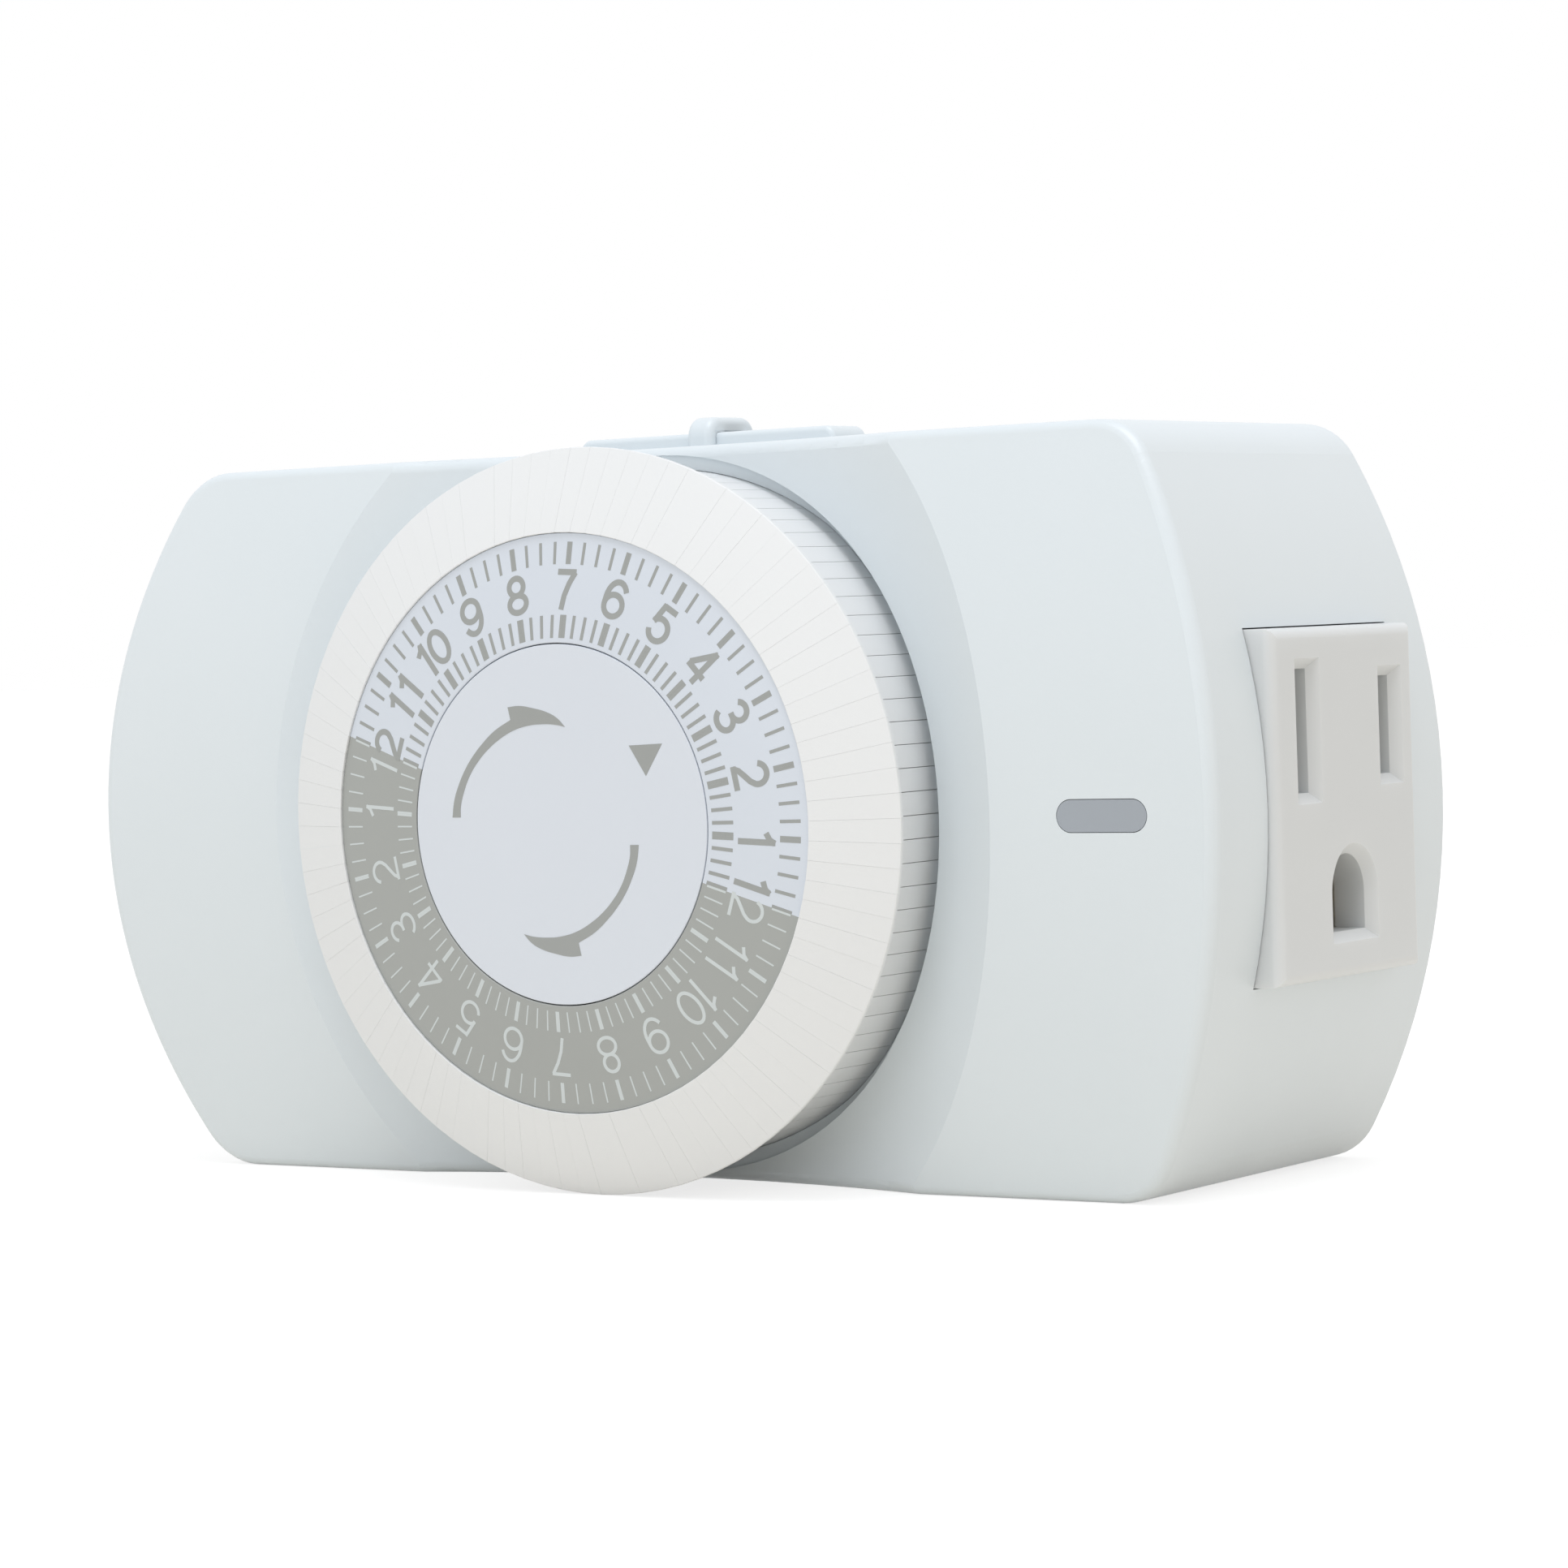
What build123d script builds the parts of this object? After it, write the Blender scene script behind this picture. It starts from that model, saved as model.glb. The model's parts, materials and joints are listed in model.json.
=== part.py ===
"""Plug-in 24-hour timer switch: a dial with 96 push tabs, two grounded outlets and a wall plug.

The origin is the centre of the wall face. +X is to the right and +Z is up, seen from the front,
and the front is towards -Y. Every height below is measured from the wall face to the front,
so a sketch at height h lies on Plane.XZ.offset(h). Sizes are in millimetres.
"""
import math
import os

from build123d import *

os.makedirs("parts", exist_ok=True)

# ---------------------------------------------------------------- body
body_width = 103.0           # across the crests of the two rounded ends
body_height = 56.0
body_depth = 35.0            # wall face to the crest of the front
end_radius = 52.0
corner_radius = 5.0
crown_radius = 100.0         # the front bulges about the X axis
scoop_radius = 80.0          # hollow round the dial, curved about the Z axis
scoop_depth = 7.2
front_edge_radius = 0.9
wall = 1.8
fit_gap = 0.1                # between pieces that are assembled and stay put
slide_gap = 0.15             # between pieces that slide
cover_thickness = 2.2
cover_lip_wall = 1.2         # lip of the rear cover, inside the housing's wall
cover_lip_height = 1.8

# ---------------------------------------------------------------- dial
clock_hours = [*range(7, 24), *range(7)]    # anticlockwise from the top
tabs_per_hour = 4
hour_mark_angle = 86.5       # where the mark of the first hour stands, from +X
well_radius = 27.4
well_depth = 11.0
collar_wall = 1.4
collar_lift = 2.0            # of the collar's end from the well floor
post_radius = 3.0
post_clearance = 0.08
hub_radius = 4.6
disc_radius = 21.6
disc_thickness = 0.8
disc_rise = 5.9              # of the number disc in front of the body's crest
centre_disc_radius = 13.3
centre_disc_rise = 7.0
centre_disc_edge = 0.4
centre_gap = 0.2
wheel_lift = 2.2             # of the wheel's rim from the well floor
wheel_wall = 1.5
wheel_web = 2.0
rim_drop = 5.6               # of the rim's front behind the disc's
rim_gap = 0.2                # between the rim and the tabs' skin

# ---------------------------------------------------------------- tabs
tab_travel = 2.5
tab_gap = 0.1                # between two tabs
tab_disc_gap = 0.25          # between the tabs and the number disc
tab_well_gap = 0.4           # between the tabs' skin and the well
tab_overhang = 0.35          # of the lip over the well's edge
tab_skin_wall = 0.9
tab_lift = 0.8               # of a tab's end from the back of the rim
tab_lip = 0.7
tab_inner_rise = 0.2         # heights of the cap against the disc's front
tab_outer_drop = 1.2
tab_under_drop = 2.7
tab_lip_drop = 3.3
tongue_depth = 3.4
tongue_width = 0.7

# ---------------------------------------------------------------- gears
gear_module = 0.5
pressure_angle = 25.0
addendum_factor = 0.8
dedendum_factor = 1.05
backlash = 0.12
dial_teeth = 60
pinion_teeth = 10
reducer_teeth = 40
motor_direction = -45.0      # of the motor pinion from the reduction gear
gear_face = 2.8
gear_lift = 0.5              # of the reduction gear from the plate
gear_layer_gap = 0.2
gear_neck_gap = 0.7          # between the teeth's roots and the wheel's neck
reducer_face = 1.8
gear_pin_radius = 0.9

# ---------------------------------------------------------------- mechanism
plate_thickness = 2.0
plate_drop = 6.2             # of the plate's back from the well floor
plate_post_radius = 2.2
plate_post_x = (-27.0, 10.0)
plate_post_z = 18.0
plate_margin = 2.6           # round the posts
motor_radius = 17.0
motor_x = -6.0
motor_edge = 1.0
motor_lift = 3.2             # of the motor from the bus bars
motor_boss_radius = 4.0
motor_shaft_radius = 0.9
shaft_depth = 4.0

# ---------------------------------------------------------------- trip lever and snap switch
switch_width = 6.4
switch_depth = 10.2
switch_gap = 2.0             # from the motor
switch_riser_gap = 0.2       # from the nearest riser of the bus bars
switch_drop = 2.6            # of its front from the plate's front
terminal_inset = 3.5
ledge_gap = 1.5
ledge_width = 2.0
plunger_radius = 1.1
plunger_depth = 3.2
plunger_travel = 1.5
plunger_arm = 5.5            # from the lever's pin to the plunger
lever_pin_radius = 0.9
lever_pin_lift = 1.8         # of the pin from the plate's front
lever_hub_radius = 1.6
lever_gear_gap = 0.3
lever_thickness = 1.2
lever_lift = 1.2             # of the lever from the plate's front
lever_half_width = 2.2
lever_ear = 1.3
ear_inner = 3.4
ear_length = 2.1
ear_margin = 0.9
cam_gap = 0.3                # between the lever and what would tip it
nib_length = 1.2
nib_half_width = 0.8
nib_inset = 0.6              # of the nib from the tabs' skin
override_arm = 2.2           # from the plunger to the override arm
override_arm_gap = 5.8       # from the arm's end to the inside of the top wall

# ---------------------------------------------------------------- slide switch on the top
rail_length = 24.1
rail_width = 4.6
rail_rise = 1.2
rail_setback = 15.9          # of its centre line from the crest of the front
rail_end_radius = 1.0
rail_top_radius = 0.4
knob_x = 0.0
knob_length = 2.3
knob_width = 6.4
knob_rise = 2.4
knob_top_radius = 1.5        # of the front and rear of its top
knob_end_radius = 0.6        # round its two ends
knob_travel = 4.0
stem_length = 2.0
stem_width = 2.2
foot_thickness = 1.2
foot_overhang = 1.6
foot_width = 4.4
finger_length = 2.0
finger_thickness = 1.4
finger_bite = 0.8            # of the finger past the arm's edge, fully moved
finger_overlap = 1.4         # of the finger and the arm along Z

# ---------------------------------------------------------------- outlets and plug
outlet_width = 21.6          # along the depth of the body
outlet_height = 25.4
outlet_depth = 16.0
outlet_setback = 7.7         # of its front edge from the crest of the front
outlet_proud = 0.7
outlet_edge_radius = 0.8
outlet_face = 3.2
pole_pitch = 12.7
ground_drop = 11.9
slot_z = 5.3
slot_shift = 0.6             # of the poles' middle from the outlet's, to the wall
slot_width = 2.2
neutral_slot = 8.9
hot_slot = 7.2
slot_chamfer = 0.75
ground_hole = 5.6
blade_thickness = 1.5
blade_length = 17.0
neutral_blade_width = 7.9
line_blade_width = 6.3
blade_hole_radius = 1.6
blade_hole_from_tip = 5.2
blade_tip = 0.5
blade_gap = 0.05
ground_pin_radius = 2.4
ground_neck_radius = 2.0     # where the pin passes through the cover
ground_recess = 0.4          # round the pin in the wall face
ground_pin_length = 20.5
ground_pin_tip = 1.2
bus_thickness = 0.8
clip_thickness = 0.6
clip_half_gap = 0.85
clip_width = 6.0
clip_tip_gap = 1.0
riser_gap = 0.8
riser_pitch = 2.0
riser_margin = 2.2
lug_half_width = 2.6
strip_gap = 1.2
strip_width = 4.2
line_strip_width = 6.6
ground_strip_width = 7.6
chamber_room = 0.6

# ---------------------------------------------------------------- lamp and screws
lamp_inset = 9.1             # from the crest of the end
lens_length = 7.4
lens_width = 2.4
lens_flange = 0.8
lens_clearance = 0.05
lamp_radius = 1.9
lamp_length = 8.0
resistor_radius = 1.2
resistor_length = 6.4
resistor_z = 6.0
screw_inset_x = 11.9
screw_inset_z = 7.4
boss_radius = 3.0
screw_radius = 1.1
screw_hole_gap = 0.4
screw_head_radius = 2.6
screw_head_depth = 1.3
screw_length = 11.0
screw_room = 1.0             # of the pilot hole beyond the screw's end

# ---------------------------------------------------------------- worked out from the sizes above
half_width = body_width / 2
half_height = body_height / 2
end_centre_x = half_width - end_radius
inner_half_height = half_height - wall
well_floor = body_depth - well_depth
collar_floor = well_floor + collar_lift
screw_x = half_width - screw_inset_x
screw_z = half_height - screw_inset_z
screw_hole_radius = screw_radius + screw_hole_gap

outlet_front = body_depth - outlet_setback
outlet_centre = outlet_front - outlet_width / 2
outlet_outer_x = half_width + outlet_proud
outlet_inner_x = outlet_outer_x - outlet_depth
slot_centre = outlet_centre - slot_shift
rear_pole = slot_centre - pole_pitch / 2
front_pole = slot_centre + pole_pitch / 2
ground_z = slot_z - ground_drop
clip_reach = outlet_outer_x - outlet_face - clip_tip_gap
near_riser = outlet_inner_x - riser_gap - bus_thickness
far_riser = near_riser - riser_pitch
line_strip_z = (slot_z - line_strip_width / 2, slot_z + line_strip_width / 2)
neutral_strip_z = (line_strip_z[1] + strip_gap, line_strip_z[1] + strip_gap + strip_width)
switched_strip_z = (line_strip_z[0] - strip_gap - strip_width, line_strip_z[0] - strip_gap)
ground_strip_z = (switched_strip_z[0] - strip_gap - ground_strip_width, switched_strip_z[0] - strip_gap)
lamp_x = half_width - lamp_inset

plate_back = well_floor - plate_drop
plate_front = plate_back + plate_thickness
plate_left = plate_post_x[0] - plate_margin
plate_right = plate_post_x[1] + plate_margin
plate_half_height = plate_post_z + plate_margin
motor_back = cover_thickness + bus_thickness + motor_lift

gear_distance = gear_module * (dial_teeth + pinion_teeth) / 2
gear_tip = gear_module * (dial_teeth / 2 + addendum_factor)
gear_neck_radius = gear_module * (dial_teeth / 2 - dedendum_factor) - gear_neck_gap
reducer_distance = gear_module * (reducer_teeth + pinion_teeth) / 2
reducer_x = -gear_distance
motor_shaft_x = reducer_x + reducer_distance * math.cos(math.radians(motor_direction))
motor_shaft_z = reducer_distance * math.sin(math.radians(motor_direction))
reducer_back = plate_front + gear_lift
gear_back = reducer_back + reducer_face + gear_layer_gap

disc_front = body_depth + disc_rise
disc_back = disc_front - disc_thickness
centre_disc_front = body_depth + centre_disc_rise
rim_back = well_floor + wheel_lift
rim_front = disc_front - rim_drop
tab_inner = disc_radius + tab_disc_gap
tab_outer = well_radius + tab_overhang
tab_skin_outer = well_radius - tab_well_gap
skin_inner = tab_skin_outer - tab_skin_wall
rim_radius = skin_inner - rim_gap
tongue_root = tab_skin_outer - tongue_depth
tab_back = rim_back + tab_lift
tab_under = disc_front - tab_under_drop
tab_lip_back = disc_front - tab_lip_drop
hour_step = 360 / len(clock_hours)
tab_step = hour_step / tabs_per_hour

switch_left = motor_x + motor_radius + switch_gap
switch_length = far_riser - switch_riser_gap - switch_left
switch_front = plate_front - switch_drop
switch_back = switch_front - switch_depth
line_terminal_x = switch_left + terminal_inset
switched_terminal_x = switch_left + switch_length - terminal_inset - bus_thickness
plunger_back = switch_front - plunger_depth
lever_pin_x = gear_tip + lever_gear_gap + lever_hub_radius
lever_pin_height = plate_front + lever_pin_lift
lever_back = plate_front + lever_lift
lever_front = lever_back + lever_thickness
lever_tip_x = tab_skin_outer - nib_inset
nib_front = tab_back - tab_travel - cam_gap
plunger_x = lever_pin_x + plunger_arm
override_arm_x = plunger_x - override_arm
override_arm_z = inner_half_height - override_arm_gap
ear_end_x = lever_pin_x + ear_length

rail_height = body_depth - rail_setback
slider_top = inner_half_height - slide_gap
finger_x = override_arm_x + finger_bite - finger_length - knob_travel
finger_back = lever_front + cam_gap
finger_front = finger_back + finger_thickness

front_axis = Axis((0, 0, 0), (0, -1, 0))
radius_by_height = Plane(origin=(0, 0, 0), x_dir=(1, 0, 0), z_dir=(0, 0, -1))


def finish(builder, name):
    """Label a finished piece and write it under its node name."""
    builder.part.label = name
    export_step(builder.part, f"parts/{name}.step")


def body_outline(inset):
    """Return the body's outline: straight top and bottom, arched ends and rounded corners."""
    top = half_height - inset
    radius = end_radius - inset
    reach = end_centre_x + math.sqrt(radius**2 - top**2)
    crest = half_width - inset
    with BuildSketch() as outline:
        with BuildLine():
            Line((-reach, top), (reach, top))
            ThreePointArc((reach, top), (crest, 0), (reach, -top))
            Line((reach, -top), (-reach, -top))
            ThreePointArc((-reach, -top), (-crest, 0), (-reach, top))
        make_face()
        fillet(outline.vertices(), corner_radius - inset)
    return outline.sketch


def side_view(inset):
    """Return the side view of the body, from the wall face to the bulging front."""
    crest = body_depth - inset
    edge = crest - crown_radius + math.sqrt(crown_radius**2 - body_height**2)
    with BuildSketch() as side:
        with BuildLine():
            Polyline((-edge, body_height), (0, body_height), (0, -body_height), (-edge, -body_height))
            ThreePointArc((-edge, -body_height), (-crest, 0), (-edge, body_height))
        make_face()
    return side.sketch


def moulded_form(inset):
    """Return the body's solid form, shrunk by inset: outline, bulging front and hollow."""
    with BuildPart() as form:
        with BuildSketch(Plane.XZ):
            add(body_outline(inset))
        extrude(amount=body_depth)
        with BuildSketch(Plane.YZ):
            add(side_view(inset))
        extrude(amount=body_width, both=True, mode=Mode.INTERSECT)
        with BuildSketch(Plane.XY.offset(-body_height)):
            with Locations((0, scoop_depth - body_depth - scoop_radius)):
                Circle(scoop_radius + inset)
        extrude(amount=2 * body_height, mode=Mode.SUBTRACT)
    return form.part


def gear_points(teeth, phase):
    """Return the corners of a spur gear with straight-sided stub teeth."""
    pitch_radius = gear_module * teeth / 2
    base_radius = pitch_radius * math.cos(math.radians(pressure_angle))
    tip = pitch_radius + addendum_factor * gear_module
    root = pitch_radius - dedendum_factor * gear_module

    def half_angle(radius):
        roll = math.acos(min(1.0, base_radius / radius))
        flank = math.tan(roll) - roll
        slope = math.radians(pressure_angle)
        at_pitch = (math.pi * gear_module / 2 - backlash) / (2 * pitch_radius)
        return at_pitch + (math.tan(slope) - slope) - flank

    points = []
    for tooth in range(teeth):
        middle = math.radians(phase + 360 * tooth / teeth)
        for radius, side in ((root, -1), (tip, -1), (tip, 1), (root, 1)):
            angle = middle + side * half_angle(radius)
            points.append((radius * math.cos(angle), radius * math.sin(angle)))
    return points


def gear_outline(x, z, teeth, phase):
    """Return a gear's outline with its axis at x, z."""
    points = [(x + px, z + pz) for px, pz in gear_points(teeth, phase)]
    with BuildSketch() as gear:
        with BuildLine():
            Polyline(*points, close=True)
        make_face()
    return gear.sketch


def end_plane(side, x):
    """Return the plane across one end at distance x, facing outwards. Its local x is side times Y."""
    return Plane(origin=(side * x, 0, 0), x_dir=(0, side, 0), z_dir=(side, 0, 0))


def box_between(xs, zs, heights):
    """Return a box from its limits along X and Z and from the wall face."""
    with BuildPart() as block:
        with BuildSketch(Plane.XZ.offset(min(heights))):
            with Locations((sum(xs) / 2, sum(zs) / 2)):
                Rectangle(abs(xs[1] - xs[0]), abs(zs[1] - zs[0]))
        extrude(amount=abs(heights[1] - heights[0]))
    return block.part


# ---------------------------------------------------------------- front housing
# collar round the dial well and bosses for the screws, rooted in the walls
with BuildPart() as inner_forms:
    with BuildSketch(Plane.XZ.offset(collar_floor)):
        Circle(well_radius + collar_wall)
    extrude(amount=body_depth - collar_floor)
    with BuildSketch(Plane.XZ.offset(cover_thickness)):
        with GridLocations(2 * screw_x, 2 * screw_z, 2, 2):
            Circle(boss_radius)
    extrude(amount=body_depth - cover_thickness)
    add(moulded_form(wall / 2), mode=Mode.INTERSECT)

with BuildPart() as front_housing:
    add(moulded_form(0))
    # rounded rim of the front, all the way round, but not the crease of the hollow
    rim = front_housing.edges().filter_by(lambda edge: edge.center().Y < -body_depth / 2)
    crease_limit = (well_radius + half_width) / 2
    crease = rim.filter_by(lambda edge: abs(edge.center().Z) < 1 and abs(edge.center().X) < crease_limit)
    fillet(rim - crease, front_edge_radius)
    add(moulded_form(wall), mode=Mode.SUBTRACT)
    add(inner_forms.part)
    with BuildSketch(Plane.XZ.offset(well_floor)):
        Circle(well_radius)
    extrude(amount=body_depth, mode=Mode.SUBTRACT)
    with BuildSketch(Plane.XZ.offset(cover_thickness)):
        with GridLocations(2 * screw_x, 2 * screw_z, 2, 2):
            Circle(screw_radius)
    extrude(amount=screw_length + screw_room, mode=Mode.SUBTRACT)
    for side in (-1, 1):
        with BuildSketch(end_plane(side, outlet_inner_x)):
            with Locations((-side * outlet_centre, 0)):
                Rectangle(outlet_width + 2 * fit_gap, outlet_height + 2 * fit_gap)
        extrude(amount=body_width, mode=Mode.SUBTRACT)
    # rail of the slide switch and its slot
    with BuildSketch(Plane.XY.offset(half_height)):
        with Locations((0, -rail_height)):
            Rectangle(rail_length, rail_width)
    extrude(amount=rail_rise)
    rail_ends = front_housing.edges().filter_by(Axis.Y).group_by(Axis.Z)[-1]
    fillet(rail_ends, rail_end_radius)
    rail_top = front_housing.faces().sort_by(Axis.Z)[-1]
    fillet(rail_top.edges().filter_by(Axis.X), rail_top_radius)
    with BuildSketch(Plane.XY.offset(half_height - 2 * wall)):
        with Locations((knob_x + knob_travel / 2, -rail_height)):
            Rectangle(knob_travel + stem_length + 2 * slide_gap, stem_width + 2 * slide_gap)
    extrude(amount=2 * wall + rail_rise, mode=Mode.SUBTRACT)
    # lamp window
    with BuildSketch(Plane.XZ.offset(outlet_front)):
        with Locations((lamp_x, 0)):
            SlotOverall(lens_length, lens_width)
    extrude(amount=body_depth, mode=Mode.SUBTRACT)
finish(front_housing, "front_housing")

# ---------------------------------------------------------------- rear cover
with BuildPart() as rear_cover:
    with BuildSketch(Plane.XZ):
        add(body_outline(wall + fit_gap))
    extrude(amount=cover_thickness)
    with BuildSketch(Plane.XZ):
        with GridLocations(2 * screw_x, 2 * screw_z, 2, 2):
            Circle(screw_hole_radius)
        with Locations((0, ground_z)):
            Circle(ground_neck_radius + blade_gap)
        with Locations((-pole_pitch / 2, slot_z)):
            Rectangle(blade_thickness + 2 * blade_gap, neutral_blade_width + 2 * blade_gap)
        with Locations((pole_pitch / 2, slot_z)):
            Rectangle(blade_thickness + 2 * blade_gap, line_blade_width + 2 * blade_gap)
    extrude(amount=cover_thickness, mode=Mode.SUBTRACT)
    with BuildSketch(Plane.XZ):
        with Locations((0, ground_z)):
            Circle(ground_pin_radius + blade_gap)
    extrude(amount=ground_recess, mode=Mode.SUBTRACT)
    with BuildSketch(Plane.XZ):
        with GridLocations(2 * screw_x, 2 * screw_z, 2, 2):
            Circle(screw_head_radius + fit_gap)
    extrude(amount=screw_head_depth, mode=Mode.SUBTRACT)
    # lip that centres the cover in the housing
    with BuildSketch(Plane.XZ.offset(cover_thickness)):
        add(body_outline(wall + fit_gap))
        add(body_outline(wall + fit_gap + cover_lip_wall), mode=Mode.SUBTRACT)
        with GridLocations(2 * screw_x, 2 * screw_z, 2, 2):
            Circle(2 * boss_radius, mode=Mode.SUBTRACT)
    extrude(amount=cover_lip_height)
    # posts under the mechanism plate, and a ledge under the snap switch
    with BuildSketch(Plane.XZ.offset(cover_thickness)):
        for x in plate_post_x:
            with Locations((x, plate_post_z), (x, -plate_post_z)):
                Circle(plate_post_radius)
    extrude(amount=plate_back - cover_thickness)
    add(box_between((line_terminal_x + ledge_gap, switched_terminal_x - ledge_gap),
                    (switch_width / 2 - ledge_width, switch_width / 2), (cover_thickness, switch_back)))
finish(rear_cover, "rear_cover")

with BuildPart() as cover_screws:
    with BuildSketch(Plane.XZ.offset(fit_gap)):
        with GridLocations(2 * screw_x, 2 * screw_z, 2, 2):
            Circle(screw_head_radius)
    extrude(amount=screw_head_depth - fit_gap)
    with BuildSketch(Plane.XZ.offset(screw_head_depth)):
        with GridLocations(2 * screw_x, 2 * screw_z, 2, 2):
            Circle(screw_radius)
    extrude(amount=cover_thickness + screw_length - screw_head_depth)
finish(cover_screws, "cover_screws")


# ---------------------------------------------------------------- outlet faces
def outlet_insert(side):
    """Return the insert of one end: a flat face with two slots, a ground hole and clip chambers."""
    neutral, hot = (front_pole, rear_pole) if side > 0 else (rear_pole, front_pole)
    chamber = 2 * (clip_half_gap + clip_thickness + chamber_room)
    ground_chamber = 2 * (ground_pin_radius + clip_thickness + chamber_room)
    with BuildPart() as insert:
        with BuildSketch(end_plane(side, outlet_inner_x)):
            with Locations((-side * outlet_centre, 0)):
                Rectangle(outlet_width, outlet_height)
        extrude(amount=outlet_depth)
        outer_face = insert.faces().sort_by(Axis.X)[0 if side < 0 else -1]
        fillet(outer_face.edges(), outlet_edge_radius)
        with BuildSketch(end_plane(side, outlet_inner_x)):
            with Locations((-side * neutral, slot_z), (-side * hot, slot_z)):
                Rectangle(chamber, neutral_slot + 2 * chamber_room)
            with Locations((-side * slot_centre, ground_z)):
                Rectangle(ground_chamber, ground_chamber)
        extrude(amount=outlet_depth - outlet_face, mode=Mode.SUBTRACT)
        with BuildSketch(end_plane(side, outlet_inner_x)):
            with Locations((-side * neutral, slot_z)):
                Rectangle(slot_width, neutral_slot)
            with Locations((-side * hot, slot_z)):
                Rectangle(slot_width, hot_slot)
            with Locations((-side * slot_centre, ground_z)):
                Circle(ground_hole / 2)
            with Locations((-side * slot_centre, ground_z - ground_hole / 4)):
                Rectangle(ground_hole, ground_hole / 2)
        extrude(amount=outlet_depth, mode=Mode.SUBTRACT)
        outer_face = insert.faces().sort_by(Axis.X)[0 if side < 0 else -1]
        chamfer(outer_face.inner_wires().edges(), slot_chamfer)
    return insert


for side, name in ((1, "outlet_face_right"), (-1, "outlet_face_left")):
    finish(outlet_insert(side), name)


# ---------------------------------------------------------------- plug blades and bus bars
def plug_blade(x, width):
    """Return one flat blade, from its root on the bus bar to its bevelled tip behind the wall face."""
    with BuildPart() as blade:
        add(box_between((x - blade_thickness / 2, x + blade_thickness / 2),
                        (slot_z - width / 2, slot_z + width / 2), (-blade_length, cover_thickness)))
        tip = blade.faces().sort_by(Axis.Y)[-1]
        chamfer(tip.edges(), blade_tip)
        with BuildSketch(Plane.YZ.offset(x)):
            with Locations((blade_length - blade_hole_from_tip, slot_z)):
                Circle(blade_hole_radius)
        extrude(amount=blade_thickness, both=True, mode=Mode.SUBTRACT)
    return blade


finish(plug_blade(-pole_pitch / 2, neutral_blade_width), "neutral_blade")
finish(plug_blade(pole_pitch / 2, line_blade_width), "line_blade")

with BuildPart() as ground_pin:
    with BuildSketch(Plane.XZ.offset(-ground_pin_length)):
        with Locations((0, ground_z)):
            Circle(ground_pin_radius)
    extrude(amount=ground_pin_length)
    fillet(ground_pin.edges().sort_by(Axis.Y)[-1], ground_pin_tip)
    with BuildSketch(Plane.XZ):
        with Locations((0, ground_z)):
            Circle(ground_neck_radius)
    extrude(amount=cover_thickness)
finish(ground_pin, "ground_pin")


def clip(side, riser_x, pole, middle_z, half_gap):
    """Return the two leaves that grip a blade or pin in one outlet."""
    zs = (middle_z - clip_width / 2, middle_z + clip_width / 2)
    xs = (side * riser_x, side * clip_reach)
    upper = box_between(xs, zs, (pole + half_gap, pole + half_gap + clip_thickness))
    lower = box_between(xs, zs, (pole - half_gap - clip_thickness, pole - half_gap))
    return upper, lower


def riser(side, x, zs, heights):
    """Return a sheet that stands across X in one end of a bus bar."""
    return box_between((side * x, side * (x + bus_thickness)), zs, heights)


bus_heights = (cover_thickness, cover_thickness + bus_thickness)
clip_z = (slot_z - clip_width / 2, slot_z + clip_width / 2)
front_sheet = (front_pole - riser_margin, front_pole + riser_margin)
rear_sheet = (cover_thickness, rear_pole + riser_margin)
ground_sheet_top = slot_centre + ground_pin_radius + riser_margin

with BuildPart() as neutral_bus:
    add(box_between((-near_riser, far_riser), neutral_strip_z, bus_heights))
    add(box_between((-pole_pitch / 2 - lug_half_width, -pole_pitch / 2 + lug_half_width),
                    (slot_z - neutral_blade_width / 2, neutral_strip_z[0]), bus_heights))
    add(riser(-1, near_riser, (clip_z[0], neutral_strip_z[1]), rear_sheet))
    add(riser(1, far_riser, neutral_strip_z, (cover_thickness, front_sheet[1])))
    add(riser(1, far_riser, (clip_z[0], neutral_strip_z[1]), front_sheet))
    add(clip(-1, near_riser, rear_pole, slot_z, clip_half_gap))
    add(clip(1, far_riser, front_pole, slot_z, clip_half_gap))
finish(neutral_bus, "neutral_bus")

with BuildPart() as switched_bus:
    add(box_between((-far_riser, near_riser), switched_strip_z, bus_heights))
    add(riser(1, near_riser, (switched_strip_z[0], clip_z[1]), rear_sheet))
    add(riser(-1, far_riser, switched_strip_z, (cover_thickness, front_sheet[1])))
    add(riser(-1, far_riser, (switched_strip_z[0], clip_z[1]), front_sheet))
    add(clip(1, near_riser, rear_pole, slot_z, clip_half_gap))
    add(clip(-1, far_riser, front_pole, slot_z, clip_half_gap))
    add(box_between((switched_terminal_x, switched_terminal_x + bus_thickness), switched_strip_z,
                    (cover_thickness, switch_back)))
finish(switched_bus, "switched_bus")

with BuildPart() as ground_bus:
    add(box_between((-near_riser, near_riser), ground_strip_z, bus_heights))
    for side in (-1, 1):
        add(riser(side, near_riser, ground_strip_z, (cover_thickness, ground_sheet_top)))
        add(clip(side, near_riser, slot_centre, ground_z, ground_pin_radius))
finish(ground_bus, "ground_bus")

with BuildPart() as line_bus:
    add(box_between((pole_pitch / 2 - lug_half_width, line_terminal_x), line_strip_z, bus_heights))
    add(box_between((line_terminal_x - bus_thickness, line_terminal_x), line_strip_z,
                    (cover_thickness, switch_back)))
finish(line_bus, "line_bus")

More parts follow.
